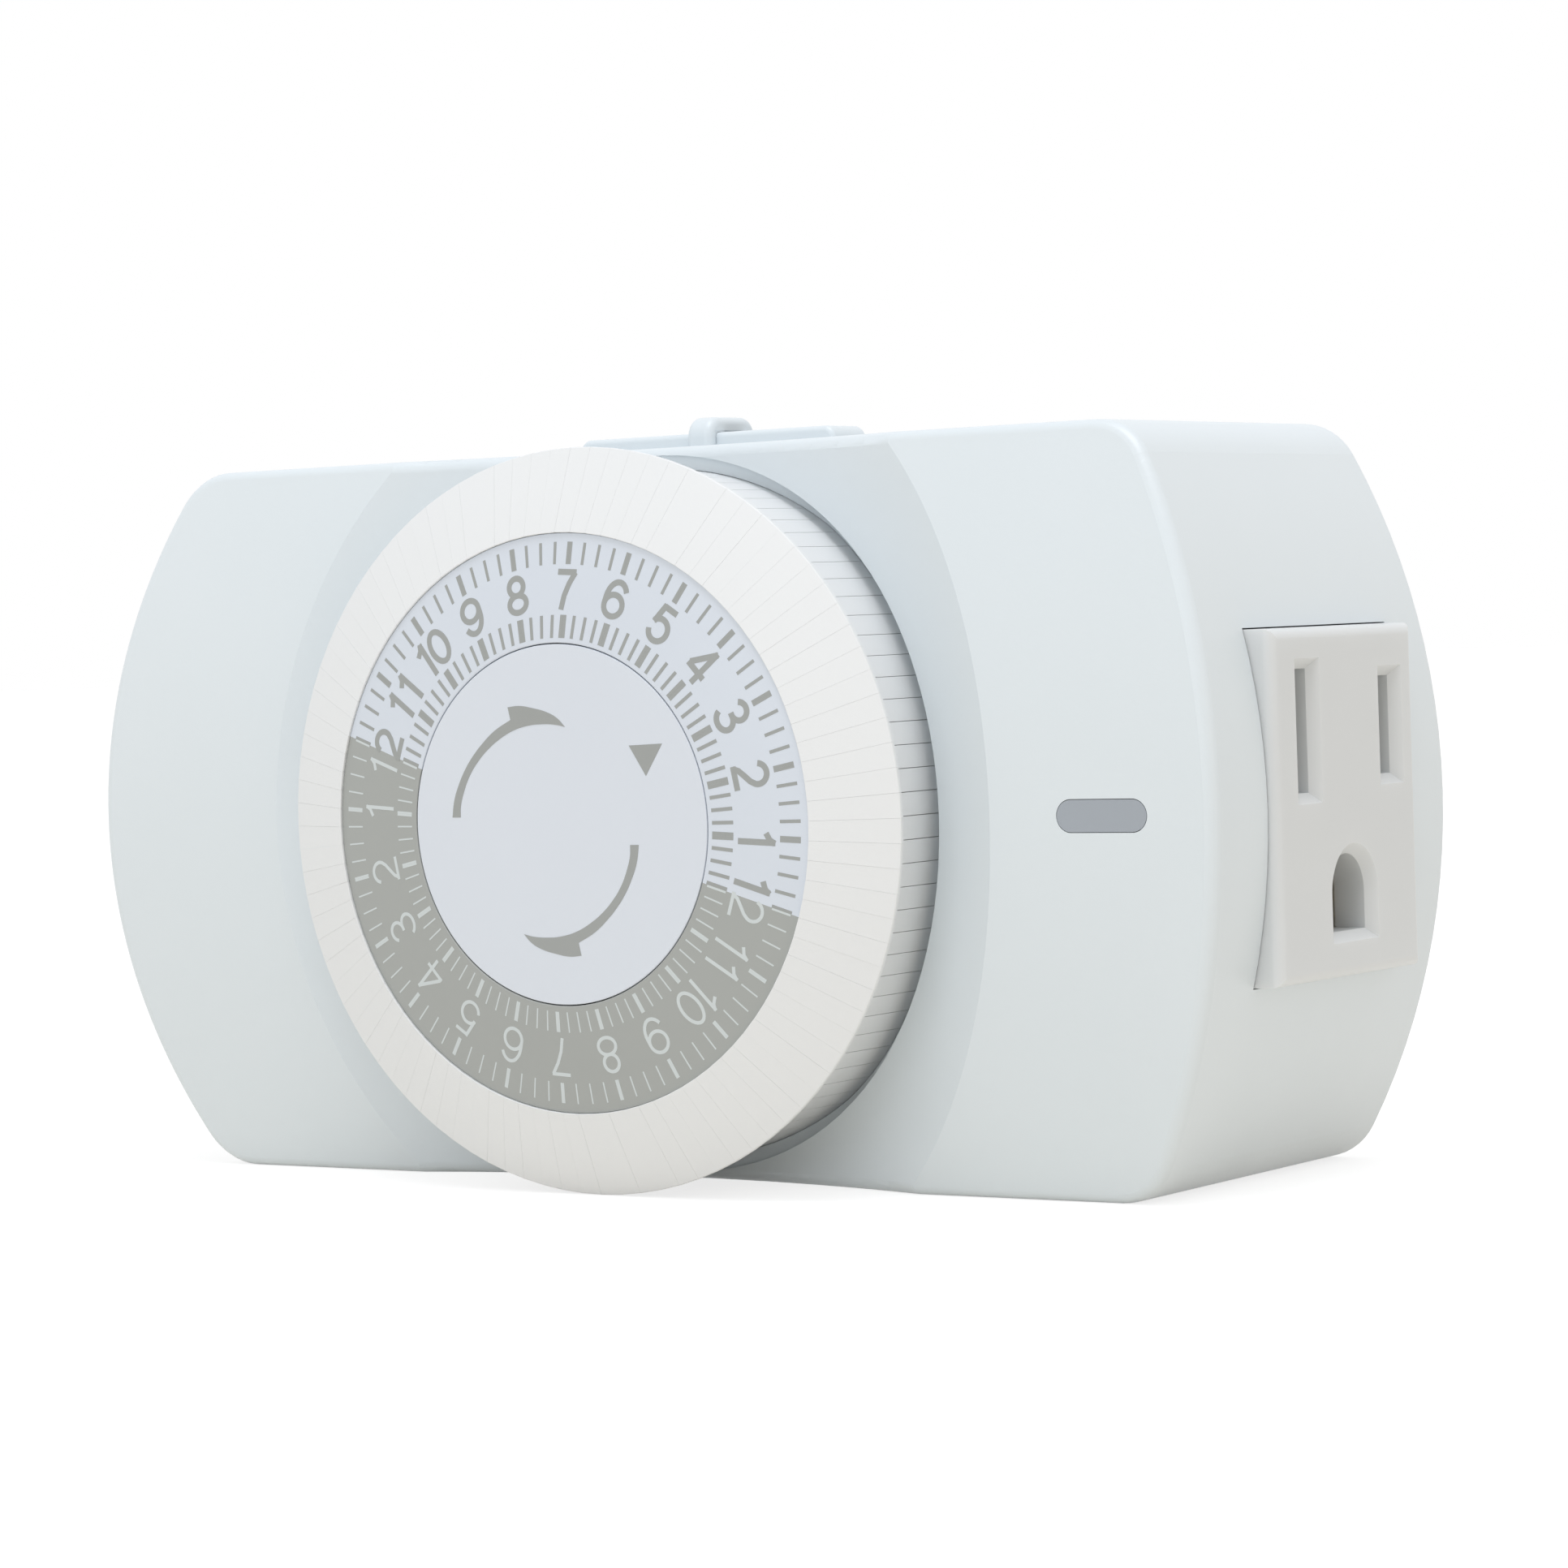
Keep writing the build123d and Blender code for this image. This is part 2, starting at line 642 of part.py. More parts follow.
# ---------------------------------------------------------------- mechanism plate and motor
with BuildPart() as mechanism_plate:
    with BuildSketch(Plane.XZ.offset(plate_back)):
        with Locations(((plate_left + plate_right) / 2, 0)):
            RectangleRounded(plate_right - plate_left, 2 * plate_half_height, plate_post_radius)
        with Locations((ear_end_x / 2, 0)):
            Rectangle(ear_end_x, 2 * (ear_inner + lever_ear + ear_margin))
        with Locations((motor_shaft_x, motor_shaft_z)):
            Circle(motor_boss_radius + fit_gap, mode=Mode.SUBTRACT)
    extrude(amount=plate_thickness)
    with BuildSketch(Plane.XZ.offset(plate_back + plate_thickness / 2)):
        with Locations((reducer_x, 0)):
            Circle(gear_pin_radius)
    extrude(amount=plate_thickness, mode=Mode.SUBTRACT)
    for side in (-1, 1):
        add(box_between((lever_pin_x - lever_hub_radius, ear_end_x),
                        (side * ear_inner, side * (ear_inner + lever_ear)),
                        (plate_front, lever_pin_height + lever_hub_radius)))
    with BuildSketch(Plane.XY.offset(-plate_half_height)):
        with Locations((lever_pin_x, -lever_pin_height)):
            Circle(lever_pin_radius)
    extrude(amount=2 * plate_half_height, mode=Mode.SUBTRACT)
finish(mechanism_plate, "mechanism_plate")

with BuildPart() as motor:
    with BuildSketch(Plane.XZ.offset(motor_back)):
        with Locations((motor_x, 0)):
            Circle(motor_radius)
    extrude(amount=plate_back - motor_back)
    chamfer(motor.edges().sort_by(Axis.Y)[-1], motor_edge)
    with BuildSketch(Plane.XZ.offset(plate_back)):
        with Locations((motor_shaft_x, motor_shaft_z)):
            Circle(motor_boss_radius)
    extrude(amount=plate_thickness)
    with BuildSketch(Plane.XZ.offset(plate_back - shaft_depth)):
        with Locations((motor_shaft_x, motor_shaft_z)):
            Circle(motor_shaft_radius + post_clearance)
    extrude(amount=shaft_depth + plate_thickness, mode=Mode.SUBTRACT)
finish(motor, "motor")

# ---------------------------------------------------------------- gears
motor_pinion_phase = motor_direction + 180 + 180 / pinion_teeth
with BuildPart() as motor_pinion:
    with BuildSketch(Plane.XZ.offset(reducer_back)):
        add(gear_outline(motor_shaft_x, motor_shaft_z, pinion_teeth, motor_pinion_phase))
    extrude(amount=reducer_face)
    with BuildSketch(Plane.XZ.offset(plate_back - shaft_depth + slide_gap)):
        with Locations((motor_shaft_x, motor_shaft_z)):
            Circle(motor_shaft_radius)
    extrude(amount=reducer_back - plate_back + shaft_depth)
finish(motor_pinion, "motor_pinion")

with BuildPart() as gear_pin:
    with BuildSketch(Plane.XZ.offset(plate_back + plate_thickness / 2)):
        with Locations((reducer_x, 0)):
            Circle(gear_pin_radius)
    extrude(amount=gear_back + gear_face + slide_gap - plate_back - plate_thickness / 2)
finish(gear_pin, "gear_pin")

with BuildPart() as reduction_gear:
    with BuildSketch(Plane.XZ.offset(reducer_back)):
        add(gear_outline(reducer_x, 0, reducer_teeth, motor_direction))
    extrude(amount=reducer_face)
    with BuildSketch(Plane.XZ.offset(reducer_back + reducer_face)):
        add(gear_outline(reducer_x, 0, pinion_teeth, 180 / pinion_teeth))
    extrude(amount=gear_back + gear_face - reducer_back - reducer_face)
    with BuildSketch(Plane.XZ.offset(reducer_back)):
        with Locations((reducer_x, 0)):
            Circle(gear_pin_radius + post_clearance)
    extrude(amount=body_depth, mode=Mode.SUBTRACT)
finish(reduction_gear, "reduction_gear")

# ---------------------------------------------------------------- dial wheel
hub_back = plate_front + centre_gap
web_front = rim_back + wheel_web
with BuildPart() as dial_wheel:
    with BuildSketch(radius_by_height):
        with BuildLine():
            Polyline((0, hub_back), (hub_radius, hub_back), (hub_radius, gear_back),
                     (gear_neck_radius, gear_back), (gear_neck_radius, rim_back),
                     (rim_radius, rim_back), (rim_radius, rim_front), (disc_radius, rim_front),
                     (disc_radius, disc_back), (disc_radius - wheel_wall, disc_back),
                     (disc_radius - wheel_wall, web_front), (hub_radius, web_front),
                     (hub_radius, disc_back), (0, disc_back), close=True)
        make_face()
    revolve(axis=Axis.Y)
    # guide slots for the tabs
    with BuildSketch(Plane.XZ.offset(rim_back)):
        with PolarLocations((tongue_root - slide_gap + skin_inner) / 2, len(clock_hours) * tabs_per_hour,
                            start_angle=hour_mark_angle + tab_step / 2):
            Rectangle(skin_inner - tongue_root + slide_gap, tongue_width + 2 * slide_gap)
    extrude(amount=rim_front - rim_back, mode=Mode.SUBTRACT)
    with BuildSketch(Plane.XZ.offset(gear_back)):
        add(gear_outline(0, 0, dial_teeth, 0))
    extrude(amount=gear_face)
    with BuildSketch(Plane.XZ):
        Circle(post_radius + post_clearance)
    extrude(amount=disc_front, mode=Mode.SUBTRACT)
finish(dial_wheel, "dial_wheel")

with BuildPart() as number_disc:
    # a shallow cone that rises to the centre disc
    disc_bore = centre_disc_radius + centre_gap
    with BuildSketch(radius_by_height):
        with BuildLine():
            Polyline((disc_bore, disc_back), (disc_radius, disc_back), (disc_radius, disc_front),
                     (disc_bore, centre_disc_front), close=True)
        make_face()
    revolve(axis=Axis.Y)
finish(number_disc, "number_disc")

with BuildPart() as dial_post:
    with BuildSketch(Plane.XZ.offset(plate_front)):
        Circle(post_radius)
    extrude(amount=disc_back + centre_gap - plate_front)
finish(dial_post, "dial_post")

with BuildPart() as centre_disc:
    with BuildSketch(Plane.XZ.offset(disc_back + centre_gap)):
        Circle(centre_disc_radius)
    extrude(amount=centre_disc_front - disc_back - centre_gap)
    chamfer(centre_disc.edges().sort_by(Axis.Y)[0], centre_disc_edge)
finish(centre_disc, "centre_disc")

# ---------------------------------------------------------------- tabs
with BuildPart() as tab:
    with BuildSketch(radius_by_height):
        with BuildLine():
            Polyline((tab_inner, tab_under), (tab_inner, disc_front + tab_inner_rise),
                     (tab_outer - tab_lip, disc_front - tab_outer_drop),
                     (tab_outer, disc_front - tab_outer_drop - tab_lip),
                     (tab_outer, tab_lip_back + tab_lip / 2), (tab_skin_outer, tab_lip_back - tab_lip / 2),
                     (tab_skin_outer, tab_back), (skin_inner, tab_back), (skin_inner, tab_under), close=True)
        make_face()
    extrude(amount=tab_outer * math.tan(math.radians(tab_step)), both=True)
    wedge_inner = tab_inner * math.tan(math.radians(tab_step / 2)) - tab_gap / 2
    wedge_outer = tab_outer * math.tan(math.radians(tab_step / 2)) - tab_gap / 2
    with BuildSketch(Plane.XZ):
        with BuildLine():
            Polyline((tab_inner, -wedge_inner), (tab_outer, -wedge_outer), (tab_outer, wedge_outer),
                     (tab_inner, wedge_inner), close=True)
        make_face()
    extrude(amount=disc_front + body_depth, mode=Mode.INTERSECT)
    add(box_between((tongue_root, skin_inner), (-tongue_width / 2, tongue_width / 2), (tab_back, tab_under)))

for place, hour in enumerate(clock_hours):
    with BuildPart() as hour_tabs:
        for quarter in range(tabs_per_hour):
            angle = hour_mark_angle + place * hour_step + (quarter + 0.5) * tab_step
            add(tab.part.rotate(front_axis, angle))
    finish(hour_tabs, f"tabs_hour_{hour:02d}")

# ---------------------------------------------------------------- snap switch and trip lever
with BuildPart() as snap_switch:
    add(box_between((switch_left, switch_left + switch_length), (-switch_width / 2, switch_width / 2),
                    (switch_back, switch_front)))
    with BuildSketch(Plane.XZ.offset(plunger_back - plunger_travel)):
        with Locations((plunger_x, 0)):
            Circle(plunger_radius + post_clearance)
    extrude(amount=switch_front, mode=Mode.SUBTRACT)
finish(snap_switch, "snap_switch")

with BuildPart() as switch_plunger:
    with BuildSketch(Plane.XZ.offset(plunger_back)):
        with Locations((plunger_x, 0)):
            Circle(plunger_radius)
    extrude(amount=lever_back - fit_gap - plunger_back)
    chamfer(switch_plunger.edges().sort_by(Axis.Y)[0], plunger_radius / 2)
finish(switch_plunger, "switch_plunger")

with BuildPart() as lever_pin:
    with BuildSketch(Plane.XY.offset(-ear_inner - lever_ear)):
        with Locations((lever_pin_x, -lever_pin_height)):
            Circle(lever_pin_radius)
    extrude(amount=2 * (ear_inner + lever_ear))
finish(lever_pin, "lever_pin")

with BuildPart() as trip_lever:
    add(box_between((lever_pin_x, lever_tip_x), (-lever_half_width, lever_half_width),
                    (lever_back, lever_front)))
    add(box_between((lever_tip_x - nib_length, lever_tip_x), (-nib_half_width, nib_half_width),
                    (lever_back, nib_front)))
    add(box_between((override_arm_x, override_arm_x + lever_thickness), (0, override_arm_z),
                    (lever_back, lever_front)))
    with BuildSketch(Plane.XY.offset(-ear_inner + slide_gap)):
        with Locations((lever_pin_x, -lever_pin_height)):
            Circle(lever_hub_radius)
    extrude(amount=2 * (ear_inner - slide_gap))
    with BuildSketch(Plane.XY.offset(-ear_inner)):
        with Locations((lever_pin_x, -lever_pin_height)):
            Circle(lever_pin_radius + post_clearance)
    extrude(amount=2 * ear_inner, mode=Mode.SUBTRACT)
finish(trip_lever, "trip_lever")

# ---------------------------------------------------------------- slide switch
with BuildPart() as switch_knob:
    with BuildSketch(Plane.XY.offset(half_height + fit_gap)):
        with Locations((knob_x, -rail_height)):
            Rectangle(knob_length, knob_width)
    extrude(amount=knob_rise - fit_gap)
    fillet(switch_knob.edges().filter_by(Axis.X).group_by(Axis.Z)[-1], knob_top_radius)
    rounded = switch_knob.faces().filter_by(Axis.X).edges() - switch_knob.faces().sort_by(Axis.Z)[0].edges()
    fillet(rounded, knob_end_radius)
    with BuildSketch(Plane.XY.offset(half_height)):
        with Locations((knob_x, -rail_height)):
            Rectangle(2 * knob_length, rail_width + 2 * slide_gap)
    extrude(amount=rail_rise + slide_gap, mode=Mode.SUBTRACT)
    with BuildSketch(Plane.XY.offset(slider_top)):
        with Locations((knob_x, -rail_height)):
            Rectangle(stem_length, stem_width)
    extrude(amount=half_height + rail_rise + 2 * slide_gap - slider_top)
finish(switch_knob, "switch_knob")

with BuildPart() as override_slider:
    slider_z = (slider_top - foot_thickness, slider_top)
    add(box_between((knob_x - foot_overhang - stem_length / 2, finger_x + finger_length), slider_z,
                    (rail_height - foot_width / 2, rail_height + foot_width / 2)))
    add(box_between((finger_x, finger_x + finger_length), slider_z, (rail_height, finger_front)))
    add(box_between((finger_x, finger_x + finger_length), (override_arm_z - finger_overlap, slider_top),
                    (finger_back, finger_front)))
finish(override_slider, "override_slider")

# ---------------------------------------------------------------- lamp
lens_seat = body_depth - wall - lens_clearance
with BuildPart() as lamp_lens:
    with BuildSketch(Plane.XZ.offset(lens_seat)):
        with Locations((lamp_x, 0)):
            SlotOverall(lens_length - fit_gap, lens_width - fit_gap)
    extrude(amount=body_depth - lens_seat)
    with BuildSketch(Plane.XZ.offset(lens_seat - lens_flange)):
        with Locations((lamp_x, 0)):
            SlotOverall(lens_length + 2 * lens_flange, lens_width + 2 * lens_flange)
    extrude(amount=lens_flange)
finish(lamp_lens, "lamp_lens")

for name, radius, length, z in (("lamp", lamp_radius, lamp_length, 0),
                                ("resistor", resistor_radius, resistor_length, resistor_z)):
    with BuildPart() as cylinder:
        with BuildSketch(Plane.YZ.offset(lamp_x - length / 2)):
            with Locations((-outlet_front - radius, z)):
                Circle(radius)
        extrude(amount=length)
    finish(cylinder, name)
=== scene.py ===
import json
import math

import bmesh
import bpy
from mathutils import Euler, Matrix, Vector


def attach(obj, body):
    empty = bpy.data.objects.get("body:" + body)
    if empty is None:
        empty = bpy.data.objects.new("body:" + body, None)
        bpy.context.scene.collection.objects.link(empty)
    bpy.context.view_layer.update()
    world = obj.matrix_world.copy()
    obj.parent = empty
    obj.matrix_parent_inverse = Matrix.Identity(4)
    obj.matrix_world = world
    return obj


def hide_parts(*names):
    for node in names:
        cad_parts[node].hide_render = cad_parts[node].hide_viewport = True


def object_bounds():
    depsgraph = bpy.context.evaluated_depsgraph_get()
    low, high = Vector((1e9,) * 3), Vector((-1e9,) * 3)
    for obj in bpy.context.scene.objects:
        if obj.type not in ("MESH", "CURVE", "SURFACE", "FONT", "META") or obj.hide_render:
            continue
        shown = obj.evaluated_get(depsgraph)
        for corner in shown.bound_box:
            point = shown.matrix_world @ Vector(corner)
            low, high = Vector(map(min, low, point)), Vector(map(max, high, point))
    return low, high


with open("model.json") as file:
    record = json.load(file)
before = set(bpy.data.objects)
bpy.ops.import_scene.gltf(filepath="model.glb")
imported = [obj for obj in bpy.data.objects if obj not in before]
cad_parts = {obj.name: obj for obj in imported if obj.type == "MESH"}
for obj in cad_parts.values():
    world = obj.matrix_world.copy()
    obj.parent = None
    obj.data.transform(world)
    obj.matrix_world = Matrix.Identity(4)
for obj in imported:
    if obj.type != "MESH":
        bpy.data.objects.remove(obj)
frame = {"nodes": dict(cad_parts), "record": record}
cadBox = [list(corner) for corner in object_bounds()]
mm = 0.001
weld = 1e-7  # metres
print("frame loaded")


def linear(hexColour):  # colours are written in sRGB, the sockets want linear light
    channels = [int(hexColour[i:i + 2], 16) / 255 for i in (1, 3, 5)]
    return (*(c / 12.92 if c <= 0.04045 else ((c + 0.055) / 1.055) ** 2.4 for c in channels), 1)


def heading(angle):
    return Vector((math.cos(angle), math.sin(angle)))


def addNode(tree, kind, inputs=None, **settings):
    node = tree.nodes.new(kind)
    for name, value in settings.items():
        setattr(node, name, value)
    for name, value in (inputs or {}).items():
        if isinstance(value, bpy.types.NodeSocket):
            tree.links.new(value, node.inputs[name])
        else:
            node.inputs[name].default_value = value
    return node


def newMaterial(name, shaderInputs):
    material = bpy.data.materials.new(name)
    material.use_nodes = True
    shader = material.node_tree.nodes["Principled BSDF"]
    for socket, value in shaderInputs.items():
        shader.inputs[socket].default_value = value
    place = addNode(material.node_tree, "ShaderNodeTexCoord").outputs["Object"]
    return material, material.node_tree, shader, place


def newObject(name, data):
    made = bpy.data.objects.new(name, data)
    bpy.context.scene.collection.objects.link(made)
    return made


def plainMesh(helper):  # the mesh that a helper object evaluates to; the helper goes
    graph = bpy.context.evaluated_depsgraph_get()
    mesh = bpy.data.meshes.new_from_object(helper.evaluated_get(graph))
    helper.modifiers.clear()
    bpy.data.objects.remove(helper)
    return mesh


def listedMesh(name, points, faces):
    mesh = bpy.data.meshes.new(name)
    mesh.from_pydata(points, [], faces)
    return mesh


def builtMesh(name, work):
    mesh = bpy.data.meshes.new(name)
    work.to_mesh(mesh)
    work.free()
    return mesh


def closeUp(mesh):  # welds the seams and turns all faces outwards
    work = bmesh.new()
    work.from_mesh(mesh)
    bmesh.ops.remove_doubles(work, verts=work.verts, dist=weld)
    bmesh.ops.recalc_face_normals(work, faces=work.faces)
    work.to_mesh(mesh)
    work.free()


def finishPiece(name, mesh, material, body, replaced=None, smoothBelow=35):
    closeUp(mesh)
    mesh.materials.clear()
    mesh.materials.append(material)
    mesh.shade_smooth()
    mesh.set_sharp_from_angle(angle=math.radians(smoothBelow))
    piece = newObject(name, mesh)
    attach(piece, body)
    if replaced:
        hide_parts(replaced)


def rounded(corners, step=12):  # corners are (x, y, radius), and each turns into an arc
    points = []
    for i, (x, y, radius) in enumerate(corners):
        here = Vector((x, y))
        if not radius:
            points.append(here)
            continue
        before = (Vector(corners[i - 1][:2]) - here).normalized()
        after = (Vector(corners[(i + 1) % len(corners)][:2]) - here).normalized()
        half = before.angle(after) / 2
        centre = here + (before + after).normalized() * (radius / math.sin(half))
        start = here + before * (radius / math.tan(half)) - centre
        end = here + after * (radius / math.tan(half)) - centre
        first = math.atan2(start.y, start.x)
        sweep = (math.atan2(end.y, end.x) - first + math.pi) % (2 * math.pi) - math.pi
        count = max(2, round(abs(math.degrees(sweep)) / step))
        points += [centre + radius * heading(first + sweep * s / count) for s in range(count + 1)]
    return points


def joined(work, rims):  # a solid between two rims of points in mm, which gives back its ends
    first, second = [[work.verts.new(Vector(point) * mm) for point in rim] for rim in rims]
    for i in range(len(first)):
        j = (i + 1) % len(first)
        work.faces.new((first[i], first[j], second[j], second[i]))
    return [work.faces.new(first), work.faces.new(second)]


def spun(name, profileAt, segments):
    # turns a closed profile of (radius, height), which may change on the way, about the dial's axis
    points, faces = [], []
    for s in range(segments):
        a = 2 * math.pi * s / segments
        profile = profileAt(a)
        count = len(profile)
        points += [(r * math.cos(a) * mm, -h * mm, r * math.sin(a) * mm) for r, h in profile]
        here, after = s * count, (s + 1) % segments * count
        faces += [(here + i, here + (i + 1) % count, after + (i + 1) % count, after + i)
                  for i in range(count)]
    return listedMesh(name, points, faces)


# trees that repeat a piece; each ends in a real mesh with its material
def startTree(name, sizes):
    tree = bpy.data.node_groups.new(name, "GeometryNodeTree")
    for label, kind in {"Piece": "Geometry", **sizes, "Finish": "Material"}.items():
        tree.interface.new_socket(label, in_out="INPUT", socket_type="NodeSocket" + kind)
    tree.interface.new_socket("Geometry", in_out="OUTPUT", socket_type="NodeSocketGeometry")
    return tree, addNode(tree, "NodeGroupInput").outputs


def closeTree(tree, given, points, turn):
    copies = addNode(tree, "GeometryNodeInstanceOnPoints",
                     {"Points": points, "Instance": given["Piece"], "Rotation": turn})
    real = addNode(tree, "GeometryNodeRealizeInstances", {"Geometry": copies.outputs["Instances"]})
    painted = addNode(tree, "GeometryNodeSetMaterial",
                      {"Geometry": real.outputs["Geometry"], "Material": given["Finish"]})
    addNode(tree, "NodeGroupOutput", {"Geometry": painted.outputs["Geometry"]})


def grown(seedMesh, tree, settings):  # runs a tree on a mesh and gives back a plain mesh
    host = newObject("host", seedMesh)
    modifier = host.modifiers.new("grow", "NODES")
    modifier.node_group = tree
    identifiers = {item.name: item.identifier for item in tree.interface.items_tree
                   if item.in_out == "INPUT"}
    for label, value in settings.items():
        modifier[identifiers[label]] = value
    return plainMesh(host)


dialTree, given = startTree("copiesRoundTheDial", {
    "Copies": "Int", "First Angle": "Float", "Step Angle": "Float", "Play": "Float", "Seed": "Int"})
loose = addNode(dialTree, "FunctionNodeRandomValue",
                {2: 0.0, 3: given["Play"], "Seed": given["Seed"]}, data_type="FLOAT")
shift = addNode(dialTree, "ShaderNodeCombineXYZ", {"Y": loose.outputs[1]})
points = addNode(dialTree, "GeometryNodePoints",
                 {"Count": given["Copies"], "Position": shift.outputs["Vector"]})
index = addNode(dialTree, "GeometryNodeInputIndex")
angle = addNode(dialTree, "ShaderNodeMath", {0: index.outputs["Index"], 1: given["Step Angle"],
                                             2: given["First Angle"]}, operation="MULTIPLY_ADD")
back = addNode(dialTree, "ShaderNodeMath", {0: angle.outputs[0], 1: -1.0}, operation="MULTIPLY")
turn = addNode(dialTree, "ShaderNodeCombineXYZ", {"Y": back.outputs[0]})  # anticlockwise
closeTree(dialTree, given, points.outputs[0], turn.outputs["Vector"])

cornerTree, given = startTree("copiesAtFourCorners", {
    "Pitch X": "Float", "Pitch Z": "Float", "Seed": "Int"})
grid = addNode(cornerTree, "GeometryNodeMeshGrid",
               {"Size X": given["Pitch X"], "Size Y": given["Pitch Z"], "Vertices X": 2,
                "Vertices Y": 2})
upright = addNode(cornerTree, "GeometryNodeTransform",
                  {"Geometry": grid.outputs["Mesh"], "Rotation": Euler((math.pi / 2, 0, 0))})
chance = addNode(cornerTree, "FunctionNodeRandomValue",
                 {2: 0.0, 3: math.pi / 2, "Seed": given["Seed"]}, data_type="FLOAT")
turn = addNode(cornerTree, "ShaderNodeCombineXYZ", {"Y": chance.outputs[1]})
closeTree(cornerTree, given, upright.outputs["Geometry"], turn.outputs["Vector"])
print("node trees built")

# finishes: patterns are sized in mm, and spread is how far the roughness drifts either way
plasticLook = {"clouds": 18, "wear": 7, "bump": 0.3, "spread": (-0.05, 0.07)}
metalLook = {"clouds": 3, "bump": 0.4, "spread": (-0.06, 0.1)}


def dress(tree, shader, place, look, colours, roughness, relief, depth, shine):
    # two near colours in soft clouds, a shallow relief and a shine that is never quite even
    clouds = addNode(tree, "ShaderNodeTexNoise",
                     {"Vector": place, "Scale": 1 / (look["clouds"] * mm), "Detail": 3.0})
    tint = addNode(tree, "ShaderNodeMix", {"Factor": clouds.outputs["Fac"], 6: linear(colours[0]),
                                           7: linear(colours[1])}, data_type="RGBA")
    bump = addNode(tree, "ShaderNodeBump",
                   {"Height": relief, "Strength": look["bump"], "Distance": depth * mm})
    low, high = look["spread"]
    gloss = addNode(tree, "ShaderNodeMapRange",
                    {"Value": shine, "To Min": roughness + low, "To Max": roughness + high})
    tree.links.new(tint.outputs[2], shader.inputs["Base Color"])
    tree.links.new(bump.outputs["Normal"], shader.inputs["Normal"])
    tree.links.new(gloss.outputs["Result"], shader.inputs["Roughness"])


def mouldedPlastic(name, colour, shade, roughness, grain, depth, **more):
    # moulded plastic keeps its tool's fine spark grain: a faint pebbling under a soft shine
    material, tree, shader, place = newMaterial(name, {"Roughness": roughness, "IOR": 1.53, **more})
    pebble = addNode(tree, "ShaderNodeTexNoise",
                     {"Vector": place, "Scale": 1 / (grain * mm), "Detail": 2.0})
    worn = addNode(tree, "ShaderNodeTexNoise",
                   {"Vector": place, "Scale": 1 / (plasticLook["wear"] * mm), "Detail": 4.0})
    dress(tree, shader, place, plasticLook, (colour, shade), roughness, pebble.outputs["Fac"],
          depth, worn.outputs["Fac"])
    return material


def workedMetal(name, colour, shade, roughness, lines, depth):
    # rolled, drawn or turned metal keeps fine lines one way, which stretch its highlights
    material, tree, shader, place = newMaterial(name, {"Metallic": 1.0, "Roughness": roughness})
    stretch = addNode(tree, "ShaderNodeMapping",
                      {"Vector": place, "Scale": [1 / (step * mm) for step in lines]})
    drawn = addNode(tree, "ShaderNodeTexNoise",
                    {"Vector": stretch.outputs["Vector"], "Scale": 1.0, "Detail": 3.0})
    dress(tree, shader, place, metalLook, (colour, shade), roughness, drawn.outputs["Fac"], depth,
          drawn.outputs["Fac"])
    return material


# the shell is satin and cool, the tabs waxy and warmer, the discs smooth, the inks flat
housingAbs = mouldedPlastic("abs_cool_white_moulded", "#DFE6EA", "#DBE3E7", 0.36, 0.45, 0.02)
tabNylon = mouldedPlastic("nylon_natural_moulded", "#E9EBEC", "#E5E7E8", 0.45, 0.6, 0.02)
discAbs = mouldedPlastic("abs_white_polished", "#DBE1E9", "#D7DDE6", 0.3, 0.8, 0.008)
greyInk = mouldedPlastic("ink_grey_pad_printed", "#9FA2A0", "#9C9F9D", 0.5, 0.3, 0.004)
whiteInk = mouldedPlastic("ink_white_pad_printed", "#D0D7D8", "#CCD3D4", 0.5, 0.3, 0.004)
zincSteel = workedMetal("steel_zinc_plated", "#B9BBBE", "#ABADB2", 0.32, (0.4, 0.4, 0.4), 0.01)
